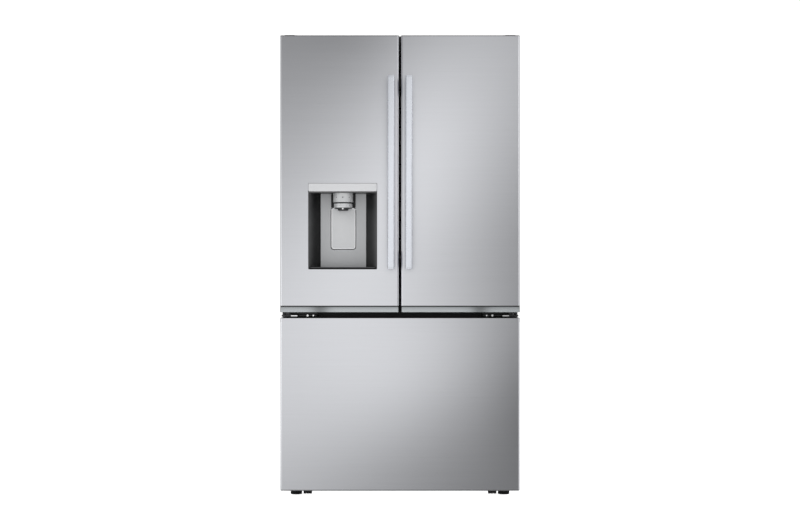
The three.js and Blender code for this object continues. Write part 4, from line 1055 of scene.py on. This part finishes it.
def glowing(name, strength):
    # Light given off by a surface, as strength(spot) says.
    look = bpy.data.materials.new(name)
    look.use_nodes = True
    tree = look.node_tree
    tree.nodes.clear()
    spot = Field(tree, tree.nodes.new("ShaderNodeTexCoord").outputs["Object"])
    light = spot.node("ShaderNodeEmission", inputs={"Strength": strength(spot)})
    end = tree.nodes.new("ShaderNodeOutputMaterial")
    tree.links.new(light.socket, end.inputs["Surface"])
    return look


# The card stands ahead of the doors and only reflections see it: soft hills of light on an even base.
# Each hill is (height, x, z, width, length, turn in degrees), in metres on the doors' front, from where
# reach scales it up to the card: height * exp(-(along / length)^2 - (across / width)^2)
cardLight = {"base": 0.02, "hills": [(0.42, 0.09, 0.5, 0.23, 0.39, -59), (0.78, 0.1, 1.28, 0.38, 1.1, -30.5),
                                     (0.94, -1.5, 0.65, 1.55, 1.78, 71), (-0.15, 0.5, 0.4, 0.13, 0.28, 0),
                                     (-0.1, -0.17, 1.8, 0.12, 0.16, 0), (0.12, 0.09, 1.42, 0.13, 0.32, 0)]}
# Beside it stand two plainer cards for the rounded edges, each (base, height, middle, spread):
# base + height * exp(-((z - middle) / spread)^2)
sideLight = {-1: (0.4, 1.35, 0.6, 0.9), 1: (0.65, 0.9, 1.7, 1.1)}


def cardGlow(spot):
    x = spot.axis(0) / card["reach"]
    z = (spot.axis(2) - studio["middleZ"]) / card["reach"] + studio["middleZ"]
    total = cardLight["base"]
    for height, hillX, hillZ, width, length, turn in cardLight["hills"]:
        c, s = math.cos(math.radians(turn)), math.sin(math.radians(turn))
        across = ((x - hillX) * c + (z - hillZ) * s) / width
        along = ((z - hillZ) * c - (x - hillX) * s) / length
        hill = (0 - (across * across + along * along)).maths("EXPONENT")
        total = total + hill * height
    return total


def sideGlow(base, height, middle, spread):
    def glow(spot):
        return bell((spot.axis(2) - middle) / spread) * height + base
    return glow


def domeGlow(spot):
    return studio["dome"]


for side in hands.values():
    corners = [[(x / mm, card["y"] / mm, z / mm) for z in card["z"]]
               for x in onSide(side, card["x"][1], card["outer"])]
    stageMesh(f"side_card_{side + 1}", grid(np.array(corners)),
              glowing("sideGlow", sideGlow(*sideLight[side])), ("glossy",))
corners = [[(x, card["y"], z) for z in card["z"]] for x in card["x"]]
stageMesh("reflection_card", grid(np.array(corners) / mm), glowing("cardGlow", cardGlow), ("glossy",))
floorLook = makeLook("floorWhite", (0.95, 0.95, 0.95), 0.7,
                     constants={"Emission Color": (1, 1, 1, 1), "Emission Strength": studio["floor"]})
stageMesh("studio_floor", turned((0, 0), [(0, -0.5), (studio["floorRadius"], -0.5)], "plan", 64), floorLook,
          ("camera", "diffuse", "transmission", "shadow"))
dome = [(studio["domeRadius"] * math.cos(t), studio["domeLow"] + studio["domeRadius"] * math.sin(t))
        for t in np.linspace(0, math.pi / 2, 12)]
stageMesh("studio_dome", turned((0, 0), dome, "plan", 48), glowing("domeGlow", domeGlow),
          ("camera", "transmission"))

# Each light is (place, size, power), aimed at the middle of the refrigerator
lights = {"key": ((-2.2, -3.2, 3.4), 2.6, 60), "fill": ((2.8, -2.6, 2.2), 2.2, 30),
          "rear": ((1.5, 3.4, 3.0), 2.6, 50)}
for name, (spotAt, size, power) in lights.items():
    lamp = bpy.data.lights.new(name, "AREA")
    lamp.shape, lamp.size, lamp.size_y, lamp.energy = "RECTANGLE", size, size, power
    holder = bpy.data.objects.new(name, lamp)
    scene.collection.objects.link(holder)
    holder.location = spotAt
    aim = Vector((0, 0, 0.9)) - holder.location
    holder.rotation_euler = aim.to_track_quat("-Z", "Y").to_euler()
    holder.visible_glossy = False

view = {"away": 5.835, "lens": 65.4, "sensor": 36, "clip": 100}
camera = bpy.data.objects.new("camera", bpy.data.cameras.new("camera"))
scene.collection.objects.link(camera)
camera.location = (0, -view["away"], studio["middleZ"])
camera.rotation_euler = (math.pi / 2, 0, 0)
camera.data.lens, camera.data.sensor_width = view["lens"], view["sensor"]
camera.data.clip_end = view["clip"]
scene.camera = camera
print("studio")

low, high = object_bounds()
